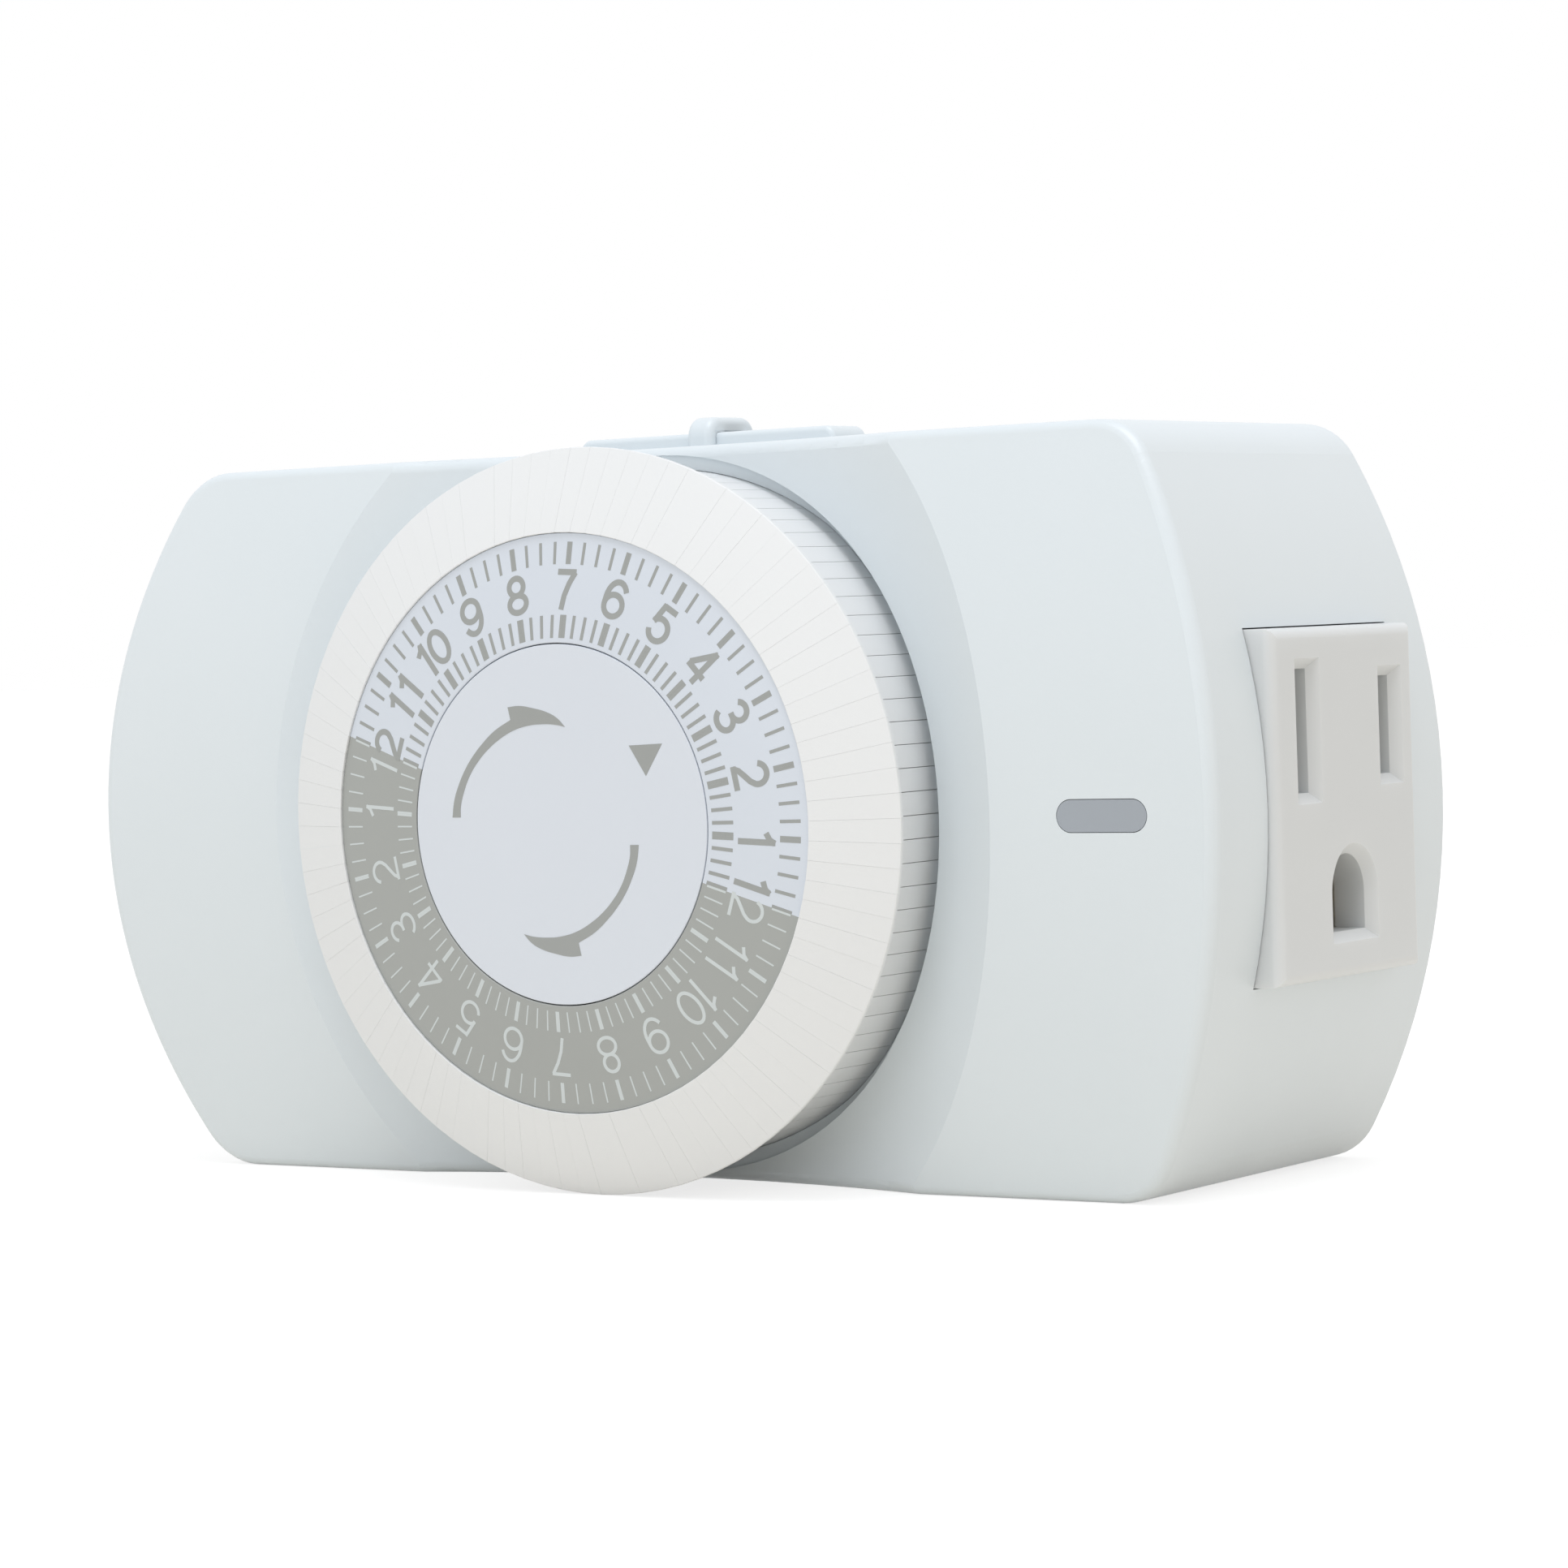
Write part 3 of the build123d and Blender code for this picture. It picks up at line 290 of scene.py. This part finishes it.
finishes = {
    "housing_plastic": housingAbs,
    "outlet_plastic": mouldedPlastic(  # lets a little light in, so its slots stay soft
        "polycarbonate_white_moulded", "#DADDDE", "#D6D9DA", 0.4, 0.4, 0.02,
        **{"Subsurface Weight": 0.35, "Subsurface Radius": (0.002, 0.002, 0.002),
           "Subsurface Scale": 1.0}),
    "cover_plastic": mouldedPlastic(  # coarser grain, nearly matt
        "abs_white_spark_eroded", "#E0E5E7", "#DAE0E2", 0.55, 0.35, 0.06),
    "tab_nylon": tabNylon,
    "disc_plastic": discAbs,
    "printed_disc": discAbs,
    "wheel_plastic": mouldedPlastic(  # slippery and milky
        "acetal_white_moulded", "#E2E3E2", "#DCDEDD", 0.38, 0.5, 0.015),
    "gear_plastic": mouldedPlastic(  # the same, undyed
        "acetal_natural_moulded", "#DCD7C8", "#D6D1C2", 0.36, 0.5, 0.015),
    "lens_plastic": mouldedPlastic(  # grey and clear-coated, with a sharp highlight
        "acrylic_smoked_polished", "#A0A7AF", "#9CA3AB", 0.2, 1.5, 0.01,
        **{"Coat Weight": 0.4, "Coat Roughness": 0.1, "IOR": 1.49}),
    "blade_brass": workedMetal(  # rubbed along the blade
        "brass_stamped_and_polished", "#E3CE97", "#D8C188", 0.24, (1.2, 3.0, 0.12), 0.006),
    "pin_brass": workedMetal(  # fine rings from the lathe
        "brass_turned", "#E3CE97", "#D8C188", 0.22, (2.0, 0.12, 2.0), 0.006),
    "bus_brass": workedMetal(  # dull rolling lines
        "brass_rolled_sheet", "#D9BD7A", "#CBAF6C", 0.34, (4.0, 0.2, 0.2), 0.008),
    "steel": zincSteel,
    "motor_can": workedMetal(  # bright, with drawing lines
        "steel_drawn_nickel_plated", "#BEBFC1", "#B1B2B5", 0.3, (0.3, 3.0, 0.3), 0.01),
    "plate_plastic": mouldedPlastic(  # dry and a little rough from its fibres
        "polyester_glass_filled_moulded", "#DADCDB", "#D2D5D4", 0.5, 0.35, 0.03),
    "switch_plastic": mouldedPlastic(
        "phenolic_black_moulded", "#1C1C1E", "#242426", 0.42, 0.4, 0.02),
    "plunger_plastic": mouldedPlastic(
        "acetal_red_moulded", "#C03A2C", "#B43427", 0.36, 0.5, 0.015),
    "lamp_glass": mouldedPlastic(  # glassy, tinted by the glow gas
        "soda_glass_blown", "#F2DCC8", "#EFD6BF", 0.08, 2.0, 0.01,
        **{"Transmission Weight": 0.6, "IOR": 1.5}),
    "resistor_body": mouldedPlastic("ceramic_lacquered", "#C4A878", "#BA9E6E", 0.3, 0.6, 0.01),
}
for part in frame["record"]["subparts"]:
    for holder in frame["nodes"][part["node"]].material_slots:
        holder.material = finishes[part["material_slot"]]

# the number disc: half of it printed grey, edge to edge, and it turns with the dial
halfPrint = {"ink": "#A5A8A5", "whiteMiddle": 71.5}
printedDisc = mouldedPlastic("abs_white_half_printed", "#D7DEE7", "#D3DAE4", 0.32, 0.8, 0.008)
tree = printedDisc.node_tree
baseColour = tree.nodes["Principled BSDF"].inputs["Base Color"]
plain = baseColour.links[0].from_socket
place = addNode(tree, "ShaderNodeTexCoord").outputs["Object"]
noon = math.radians(halfPrint["whiteMiddle"])
across = addNode(tree, "ShaderNodeVectorMath", {0: place, 1: (math.cos(noon), 0, math.sin(noon))},
                 operation="DOT_PRODUCT")
printed = addNode(tree, "ShaderNodeMath", {0: across.outputs["Value"], 1: 0.0},
                  operation="LESS_THAN")
halves = addNode(tree, "ShaderNodeMix", {"Factor": printed.outputs[0], 6: plain,
                                         7: linear(halfPrint["ink"])}, data_type="RGBA")
tree.links.new(halves.outputs[2], baseColour)
print("finishes made")

# the 96 tabs, four on each hour's body: lengths in mm from the axis and from the wall face
tabs = {"hours": [*range(7, 24), *range(7)], "perHour": 4, "firstMark": 86.5,
        "inner": 21.62, "outer": 27.95, "front": 41.12, "slope": 21.7, "under": 38.2, "back": 27.0,
        "skin": (25.96, 26.3), "lipBack": (38.25, 37.5), "tongue": (23.6, 26.1, 0.35), "bite": 0.1,
        "innerRound": 0.05, "lipRound": 0.12, "lipBackRounds": (0.1, 0.2), "skirtRound": 0.02,
        "lipDepth": 0.4, "frontSeam": 0.008, "skirtSeam": 0.05, "play": 0.015, "seed": 4}
hourStep = 360 / len(tabs["hours"])
tabStep = hourStep / tabs["perHour"]
lipFront = tabs["front"] - (tabs["outer"] - tabs["inner"]) * math.tan(math.radians(tabs["slope"]))
skinIn, skinOut = tabs["skin"]
profile = rounded([(tabs["inner"], tabs["under"], 0),
                   (tabs["inner"], tabs["front"], tabs["innerRound"]),
                   (tabs["outer"], lipFront, tabs["lipRound"]),
                   (tabs["outer"], tabs["lipBack"][0], tabs["lipBackRounds"][0]),
                   (skinOut, tabs["lipBack"][1], tabs["lipBackRounds"][1]),
                   (skinOut, tabs["back"], 0), (skinIn, tabs["back"], 0),
                   (skinIn, tabs["under"], 0)])
rims = ([], [])
for r, h in profile:
    seam = tabs["frontSeam"] if h > lipFront - tabs["lipDepth"] else tabs["skirtSeam"]
    half = r * math.tan(math.radians(tabStep / 2)) - seam / 2
    rims[0].append((r, -h, -half))
    rims[1].append((r, -h, half))
work = bmesh.new()
flanks = joined(work, rims)
skirt = [edge for flank in flanks for edge in flank.edges
         if all(v.co.y > (tabs["lipDepth"] - lipFront) * mm for v in edge.verts)]
bmesh.ops.bevel(work, geom=skirt, offset=tabs["skirtRound"] * mm, segments=2, profile=0.6,
                affect="EDGES", clamp_overlap=True)
root, tip, halfTongue = tabs["tongue"]
tongueTop = tabs["under"] + tabs["bite"]
joined(work, [[(root, -tabs["back"], z), (tip, -tabs["back"], z), (tip, -tongueTop, z),
               (root, -tongueTop, z)] for z in (-halfTongue, halfTongue)])
bmesh.ops.triangulate(work, faces=[face for face in work.faces if len(face.verts) > 4])
tabMesh = builtMesh("tab", work)
for position, hour in enumerate(tabs["hours"]):
    first = tabs["firstMark"] + position * hourStep + tabStep / 2
    mesh = grown(tabMesh, dialTree, {
        "Copies": tabs["perHour"], "First Angle": math.radians(first),
        "Step Angle": math.radians(tabStep), "Play": tabs["play"] * mm,
        "Seed": tabs["seed"] + hour, "Finish": tabNylon})
    finishPiece(f"tabs_{hour:02d}", mesh, tabNylon, f"tabs_hour_{hour:02d}",
                f"tabs_hour_{hour:02d}", smoothBelow=40)
print("tabs made")

# ledge inside the dial well, which closes the gap round the tabs
lining = {"radii": (26.35, 27.4), "below": 2.0, "depth": 0.8, "crest": 35.0, "crown": 100.0,
          "hollow": 80.0, "hollowFloor": 27.8, "lowest": tabs["back"] + 0.35, "segments": 144}


def liningProfile(a):  # it follows the crown and the hollow of the housing's front
    inner, outer = lining["radii"]
    crown = (lining["crest"] - lining["crown"]
             + math.sqrt(lining["crown"] ** 2 - (outer * math.sin(a)) ** 2))
    hollow = (lining["hollowFloor"] + lining["hollow"]
              - math.sqrt(lining["hollow"] ** 2 - (outer * math.cos(a)) ** 2))
    front = max(min(crown, hollow) - lining["below"], lining["lowest"])
    back = front - lining["depth"]
    return (inner, front), (outer, front), (outer, back), (inner, back)


finishPiece("wellLining", spun("wellLining", liningProfile, lining["segments"]), housingAbs,
            "housing")
print("well lining made")

# lips that close the play between the knob's saddle and its rail, with the round of the rail's edge
saddle = {"rail": 19.1, "railHalf": 2.3, "railRound": 0.4, "railTop": 29.2, "clear": 0.03,
          "reach": 1.2, "bite": 0.2, "halfLength": 1.1, "foot": 28.12}
inside, top = saddle["railHalf"] + saddle["clear"], saddle["railTop"] + saddle["clear"]
outside, above, over = inside + saddle["bite"], top + saddle["bite"], inside - saddle["reach"]
outline = rounded([(outside, saddle["foot"], 0), (outside, above, 0), (over, above, 0),
                   (over, top, 0), (inside, top, saddle["railRound"] + saddle["clear"]),
                   (inside, saddle["foot"], 0)])
work = bmesh.new()
for side in (-1, 1):
    joined(work, [[(x, -(saddle["rail"] + side * across), z) for across, z in outline]
                  for x in (-saddle["halfLength"], saddle["halfLength"])])
finishPiece("saddleLips", builtMesh("saddleLips", work), housingAbs, "slider")
print("knob lips made")

# number disc and centre disc, with the small rounds of their edges
disc = {"bore": 13.48, "radius": 21.6, "back": 40.1, "front": 40.9, "bossFront": 42.0,
        "edge": 0.06, "bossEdge": 0.1, "segments": 192}
discProfile = rounded([(disc["bore"], disc["back"], 0), (disc["radius"], disc["back"], 0),
                       (disc["radius"], disc["front"], disc["edge"]),
                       (disc["bore"], disc["bossFront"], disc["bossEdge"])])
finishPiece("numberDisc", spun("numberDisc", lambda a: discProfile, disc["segments"]), printedDisc,
            "dial", "number_disc")
centre = {"radius": 13.4, "back": 40.3, "front": 41.98, "edge": 0.08, "inkFront": 42.0,
          "segments": 192}
centreProfile = rounded([(0, centre["back"], 0), (centre["radius"], centre["back"], 0),
                         (centre["radius"], centre["front"], centre["edge"]),
                         (0, centre["front"], 0)])
finishPiece("centreDisc", spun("centreDisc", lambda a: centreProfile, centre["segments"]), discAbs,
            "housing", "centre_disc")


def onDisc(spot, lift):  # a point of the printed cone in mm, lift is along the axis
    slope = (disc["bossFront"] - disc["front"]) / (disc["radius"] - disc["bore"])
    height = disc["front"] + slope * (disc["radius"] - spot.length) + lift
    return Vector((spot.x, -height, spot.y))


# scale marks of one hour in two tracks: a wide mark shared with the next hour and three thin ones
marks = {"lift": 0.012, "sink": 0.03, "hours": 12, "halfGap": 0.002,
         "rings": {  # ink, first angle, and for each track: from, to, wide mark, thin mark
             "scaleMarksGrey": (greyInk, -18.5, ((19.3, 20.95, 0.46, 0.25),
                                                 (13.85, 15.55, 0.56, 0.27))),
             "scaleMarksWhite": (whiteInk, 161.5, ((19.35, 20.9, 0.32, 0.12),
                                                   (13.95, 15.5, 0.34, 0.12)))}}
for name, (ink, first, tracks) in marks["rings"].items():
    work = bmesh.new()
    for inner, outer, wide, thin in tracks:
        shared = {0: (marks["halfGap"], wide / 2), tabs["perHour"]: (-wide / 2, -marks["halfGap"])}
        for quarter in range(tabs["perHour"] + 1):
            low, high = shared.get(quarter, (-thin / 2, thin / 2))
            along = heading(math.radians(quarter * tabStep))
            beside = Vector((-along.y, along.x))
            corners = [along * radius + beside * offset for radius, offset in
                       ((inner, low), (inner, high), (outer, high), (outer, low))]
            joined(work, [[onDisc(corner, lift) for corner in corners]
                          for lift in (marks["lift"], -marks["sink"])])
    mesh = grown(builtMesh("hourMarks", work), dialTree, {
        "Copies": marks["hours"], "First Angle": math.radians(first),
        "Step Angle": math.radians(hourStep), "Play": 0.0, "Seed": 1, "Finish": ink})
    finishPiece(name, mesh, ink, "dial", smoothBelow=20)
print("scale marks made")

# plain numerals, drawn with strokes of one width on a figure in mm, which is then stretched
numerals = {"figure": (1.45, 2.45), "stretch": (1.13, 1.05), "foot": 16.14, "pitch": 1.72,
            "noonPitch": 1.95, "greyStroke": 0.45, "whiteStroke": 0.27, "overlap": 0.002,
            "noonLean": 3, "endsMeet": 0.01}
figureWide, figureTall = numerals["figure"]
stretchWide, stretchTall = numerals["stretch"]


def bow(x, y, width, height, start, end, step=12):
    count = max(4, round(abs(end - start) / step))
    turns = [math.radians(start + (end - start) * i / count) for i in range(count + 1)]
    return [(x + width * math.cos(a), y + height * math.sin(a)) for a in turns]


six = [bow(0.73, 0.76, 0.72, 0.76, 0, 360), bow(0.80, 1.25, 0.79, 1.2, 32, 180) + [(0.01, 0.8)]]
figures = {
    "0": [bow(0.72, 1.225, 0.70, 1.225, 0, 360)],
    "1": [[(0.95, -0.2), (0.95, 2.65)], [(1.0, 2.62), (0.78, 2.22), (0.35, 1.93)]],
    "2": [bow(0.70, 1.74, 0.67, 0.71, 168, -25) + [(1.08, 1.1), (0.62, 0.7), (0.25, 0.36),
                                                   (0.05, -0.05)],
          [(-0.1, 0.0), (1.47, 0.0)]],
    "3": [bow(0.68, 1.84, 0.60, 0.61, 158, -90) + [(0.5, 1.24)],
          bow(0.70, 0.62, 0.71, 0.62, 90, -165)],
    "4": [[(1.04, -0.2), (1.04, 2.65)], [(1.1, 2.62), (-0.02, 0.74)], [(-0.12, 0.64), (1.5, 0.64)]],
    "5": [[(0.3, 2.45), (1.38, 2.45)], [(0.36, 2.6), (0.12, 1.15)],
          bow(0.70, 0.80, 0.72, 0.80, 150, -162)],
    "6": six,
    "7": [[(0.0, 2.45), (1.5, 2.45)], [(1.42, 2.44), (0.98, 1.65), (0.66, 0.78), (0.5, -0.2)]],
    "8": [bow(0.72, 1.83, 0.59, 0.62, 0, 360), bow(0.72, 0.61, 0.70, 0.61, 0, 360)],
    "9": [[(figureWide - x, figureTall - y) for x, y in stroke] for stroke in six],
}


def drawStroke(work, points, width, place):  # a closed ribbon along the points, square at its ends
    loop = math.dist(points[0], points[-1]) < numerals["endsMeet"]
    points = [Vector(p) for p in (points[:-1] if loop else points)]
    count, rows = len(points), []
    for i, here in enumerate(points):
        before = points[i - 1] if loop or i else here
        after = points[(i + 1) % count] if loop or i < count - 1 else here
        along = (after - before).normalized()
        beside = Vector((-along.y, along.x)) * width / 2
        rows.append([work.verts.new(place(spot, lift) * mm) for spot, lift in
                     ((here + beside, marks["lift"]), (here - beside, marks["lift"]),
                      (here - beside, -marks["sink"]), (here + beside, -marks["sink"]))])
    for i in range(count if loop else count - 1):
        first, second = rows[i], rows[(i + 1) % count]
        for k in range(4):
            work.faces.new((first[k], first[(k + 1) % 4], second[(k + 1) % 4], second[k]))
    if not loop:
        work.faces.new(rows[0])
        work.faces.new(rows[-1])


inks = {"numbersGrey": bmesh.new(), "numbersWhite": bmesh.new()}
for position, hour in enumerate(tabs["hours"]):
    angle = tabs["firstMark"] + position * hourStep
    text = str((hour - 1) % 12 + 1)
    pitch = numerals["noonPitch"] if text == "12" else numerals["pitch"]
    strokes = [(i, [(x * stretchWide + i * pitch, y * stretchTall) for x, y in stroke])
               for i, figure in enumerate(text) for stroke in figures[figure]]
    xs = [x for _, stroke in strokes for x, _ in stroke]
    middle = (min(xs) + max(xs)) / 2
    up = heading(math.radians(angle))
    right = Vector((up.y, -up.x))
    for layer, (i, stroke) in enumerate(strokes):  # strokes that cross lie one just above the other
        lean = 0
        if text == "12":  # it straddles the edge of the printed half: each figure is in its own ink
            lean = numerals["noonLean"] if i else -numerals["noonLean"]
        grey = math.cos(math.radians(angle - lean) - noon) > 0
        drawStroke(inks["numbersGrey" if grey else "numbersWhite"], stroke,
                   numerals["greyStroke" if grey else "whiteStroke"],
                   lambda spot, lift: onDisc(
                       up * (numerals["foot"] + spot.y) + right * (spot.x - middle),
                       lift + layer * numerals["overlap"]))
for name, ink in (("numbersGrey", greyInk), ("numbersWhite", whiteInk)):
    finishPiece(name, builtMesh(name, inks[name]), ink, "dial", smoothBelow=20)
print("numerals made")

# arrows of the turning direction and the pointer of the present time, on the centre disc:
# outlines of (x, z, corner), where corners stay sharp and the rest flows
sign = {"arrow": [(-9.98, 0.6, 1), (-9.74, 1.9, 0), (-9.24, 3.1, 0), (-8.6, 4.2, 0), (-7.9, 5.1, 0),
                  (-6.9, 6.1, 0), (-5.7, 7.05, 0), (-4.15, 7.85, 1), (-4.37, 8.8, 1),
                  (-3.3, 8.88, 0), (-2.0, 8.68, 0), (-0.7, 8.35, 0), (0.2, 7.9, 0), (0.9, 7.24, 1),
                  (0.0, 7.42, 0), (-1.4, 7.48, 0), (-2.7, 7.36, 0), (-4.0, 7.02, 0),
                  (-5.2, 6.45, 0), (-6.4, 5.65, 0), (-7.4, 4.72, 0), (-8.2, 3.7, 0),
                  (-8.8, 2.5, 0), (-9.15, 1.4, 0), (-9.2, 0.6, 1)],
        "turnAbout": (-1.37, -0.46), "pointer": [(6.67, 5.78, 1), (9.67, 5.88, 1), (8.12, 3.53, 1)],
        "halfDepth": 0.02, "steps": 6}


def flatShape(outline):
    curve = bpy.data.curves.new("outline", "CURVE")
    curve.dimensions = "2D"
    curve.fill_mode = "BOTH"
    curve.extrude = sign["halfDepth"] * mm
    spline = curve.splines.new("BEZIER")
    spline.bezier_points.add(len(outline) - 1)
    spline.use_cyclic_u = True
    spline.resolution_u = sign["steps"]
    for point, (x, z, corner) in zip(spline.bezier_points, outline):
        point.co = (x * mm, z * mm, 0)
        point.handle_left_type = point.handle_right_type = "VECTOR" if corner else "AUTO"
    mesh = plainMesh(newObject("outline", curve))
    for vertex in mesh.vertices:
        x, z, lift = vertex.co
        vertex.co = (x, -(centre["inkFront"] - sign["halfDepth"]) * mm - lift, z)
    return mesh


turnX, turnZ = sign["turnAbout"]
turned = [(2 * turnX - x, 2 * turnZ - z, corner) for x, z, corner in sign["arrow"]]
for name, outline in (("arrowUpper", sign["arrow"]), ("arrowLower", turned),
                      ("timePointer", sign["pointer"])):
    finishPiece(name, flatShape(outline), greyInk, "housing", smoothBelow=20)
print("centre disc made")

# cross-recessed screws of the rear cover
screw = {"headRadius": 2.6, "headBack": 0.1, "headFront": 1.3, "headRounds": (0.45, 0.1),
         "plain": 0.5, "shank": 1.1, "core": 0.85, "thread": 0.9, "tip": 13.2, "point": (1.4, 0.15),
         "crossReach": 1.45, "crossHalf": 0.36, "crossLayers": ((-0.2, 1.0), (0.85, 0.55)),
         "segments": 40, "pitch": (79.2, 41.2), "seed": 3}
head = rounded([(screw["headRadius"], screw["headBack"], screw["headRounds"][0]),
                (screw["headRadius"], screw["headFront"], screw["headRounds"][1]),
                (0, screw["headFront"], 0)])
screwProfile = [(0, screw["headBack"]), *head[:-1], (screw["core"], screw["headFront"])]
height = screw["headFront"] + screw["plain"]
pointLength, pointRadius = screw["point"]
while height < screw["tip"] - pointLength:
    screwProfile += [(screw["core"], height), (screw["shank"], height + screw["thread"] / 2)]
    height += screw["thread"]
screwProfile += [(screw["core"], height), (pointRadius, screw["tip"]), (0, screw["tip"])]
screwHost = newObject("screw", spun("screw", lambda a: screwProfile, screw["segments"]))
arm = [(screw["crossReach"], -screw["crossHalf"]), (screw["crossReach"], screw["crossHalf"]),
       (screw["crossHalf"], screw["crossHalf"])]
cross = []
for quarter in range(4):
    cross += arm
    arm = [(-z, x) for x, z in arm]
work = bmesh.new()
joined(work, [[(x * scale, -(screw["headBack"] + depth), z * scale) for x, z in cross]
              for depth, scale in screw["crossLayers"]])
cutter = newObject("cutter", builtMesh("cutter", work))
closeUp(screwHost.data)
closeUp(cutter.data)
recess = screwHost.modifiers.new("recess", "BOOLEAN")
recess.operation = "DIFFERENCE"
recess.solver = "EXACT"
recess.object = cutter
screwMesh = plainMesh(screwHost)
bpy.data.objects.remove(cutter)
mesh = grown(screwMesh, cornerTree, {
    "Pitch X": screw["pitch"][0] * mm, "Pitch Z": screw["pitch"][1] * mm, "Seed": screw["seed"],
    "Finish": zincSteel})
finishPiece("coverScrews", mesh, zincSteel, "housing", "cover_screws")
print("screws made")

# camera, floor and light
shot = {"place": (215.94, -329.49, 14.77), "turn": (87.354, 2.094, 35.084), "lens": 111.388,
        "sensor": 36, "shift": (0.0497, 0.0383), "nearest": 0.01}
camera = newObject("camera", bpy.data.cameras.new("camera"))
camera.data.sensor_width = shot["sensor"]
camera.data.lens = shot["lens"]
camera.data.shift_x, camera.data.shift_y = shot["shift"]
camera.data.clip_start = shot["nearest"]
camera.location = Vector(shot["place"]) * mm
camera.rotation_euler = Euler([math.radians(a) for a in shot["turn"]])
bpy.context.scene.camera = camera

studio = {"ambient": 0.69, "floorHalf": 3.0, "floorSeen": "#A0A0A0", "floorBounce": "#EDE7DC",
          "floorGlow": 0.75,
          "lamps": {  # place, width, power, colour
              "softboxFront": ((0.0, -1.3, 0.35), 0.9, 2.3, "#EEF5FF"),
              "softboxRight": ((1.3, -0.2, 0.0), 0.8, 0.8, "#FFC890"),
              "softboxTop": ((0.2, -0.3, 1.3), 0.7, 8.0, "#F6F9FF")}}
bottom, half = cadBox[0][2], studio["floorHalf"]
floor = newObject("floor", listedMesh("floor", [(-half, -half, bottom), (half, -half, bottom),
                                                (half, half, bottom), (-half, half, bottom)],
                                      [(0, 1, 2, 3)]))


def seenDirectly(tree):  # 1 for rays of the camera, of gloss and of glass
    path = addNode(tree, "ShaderNodeLightPath").outputs
    either = addNode(tree, "ShaderNodeMath",
                     {0: path["Is Camera Ray"], 1: path["Is Glossy Ray"]}, operation="MAXIMUM")
    return addNode(tree, "ShaderNodeMath",
                   {0: either.outputs[0], 1: path["Is Transmission Ray"]},
                   operation="MAXIMUM").outputs[0]


paper, tree, shader, _ = newMaterial("paper_backdrop_matt", {
    "Roughness": 0.9, "Specular IOR Level": 0.1, "Emission Color": (1, 1, 1, 1)})
seen = seenDirectly(tree)
sheet = addNode(tree, "ShaderNodeMix", {"Factor": seen, 6: linear(studio["floorBounce"]),
                                        7: linear(studio["floorSeen"])}, data_type="RGBA")
glow = addNode(tree, "ShaderNodeMath", {0: seen, 1: studio["floorGlow"]}, operation="MULTIPLY")
tree.links.new(sheet.outputs[2], shader.inputs["Base Color"])
tree.links.new(glow.outputs[0], shader.inputs["Emission Strength"])
floor.data.materials.append(paper)

world = bpy.data.worlds.new("studio")
bpy.context.scene.world = world
world.use_nodes = True
tree = world.node_tree
level = addNode(tree, "ShaderNodeMapRange",
                {"Value": seenDirectly(tree), "To Min": studio["ambient"], "To Max": 1.0})
background = tree.nodes["Background"].inputs
background["Color"].default_value = (1, 1, 1, 1)
tree.links.new(level.outputs["Result"], background["Strength"])

for name, (spot, width, power, colour) in studio["lamps"].items():
    lamp = newObject(name, bpy.data.lights.new(name, "AREA"))
    lamp.data.size = width
    lamp.data.energy = power
    lamp.data.color = linear(colour)[:3]
    lamp.location = spot
    lamp.rotation_euler = (-Vector(spot)).to_track_quat("-Z", "Y").to_euler()
bpy.context.scene.view_settings.view_transform = "Standard"
print("camera and studio set")
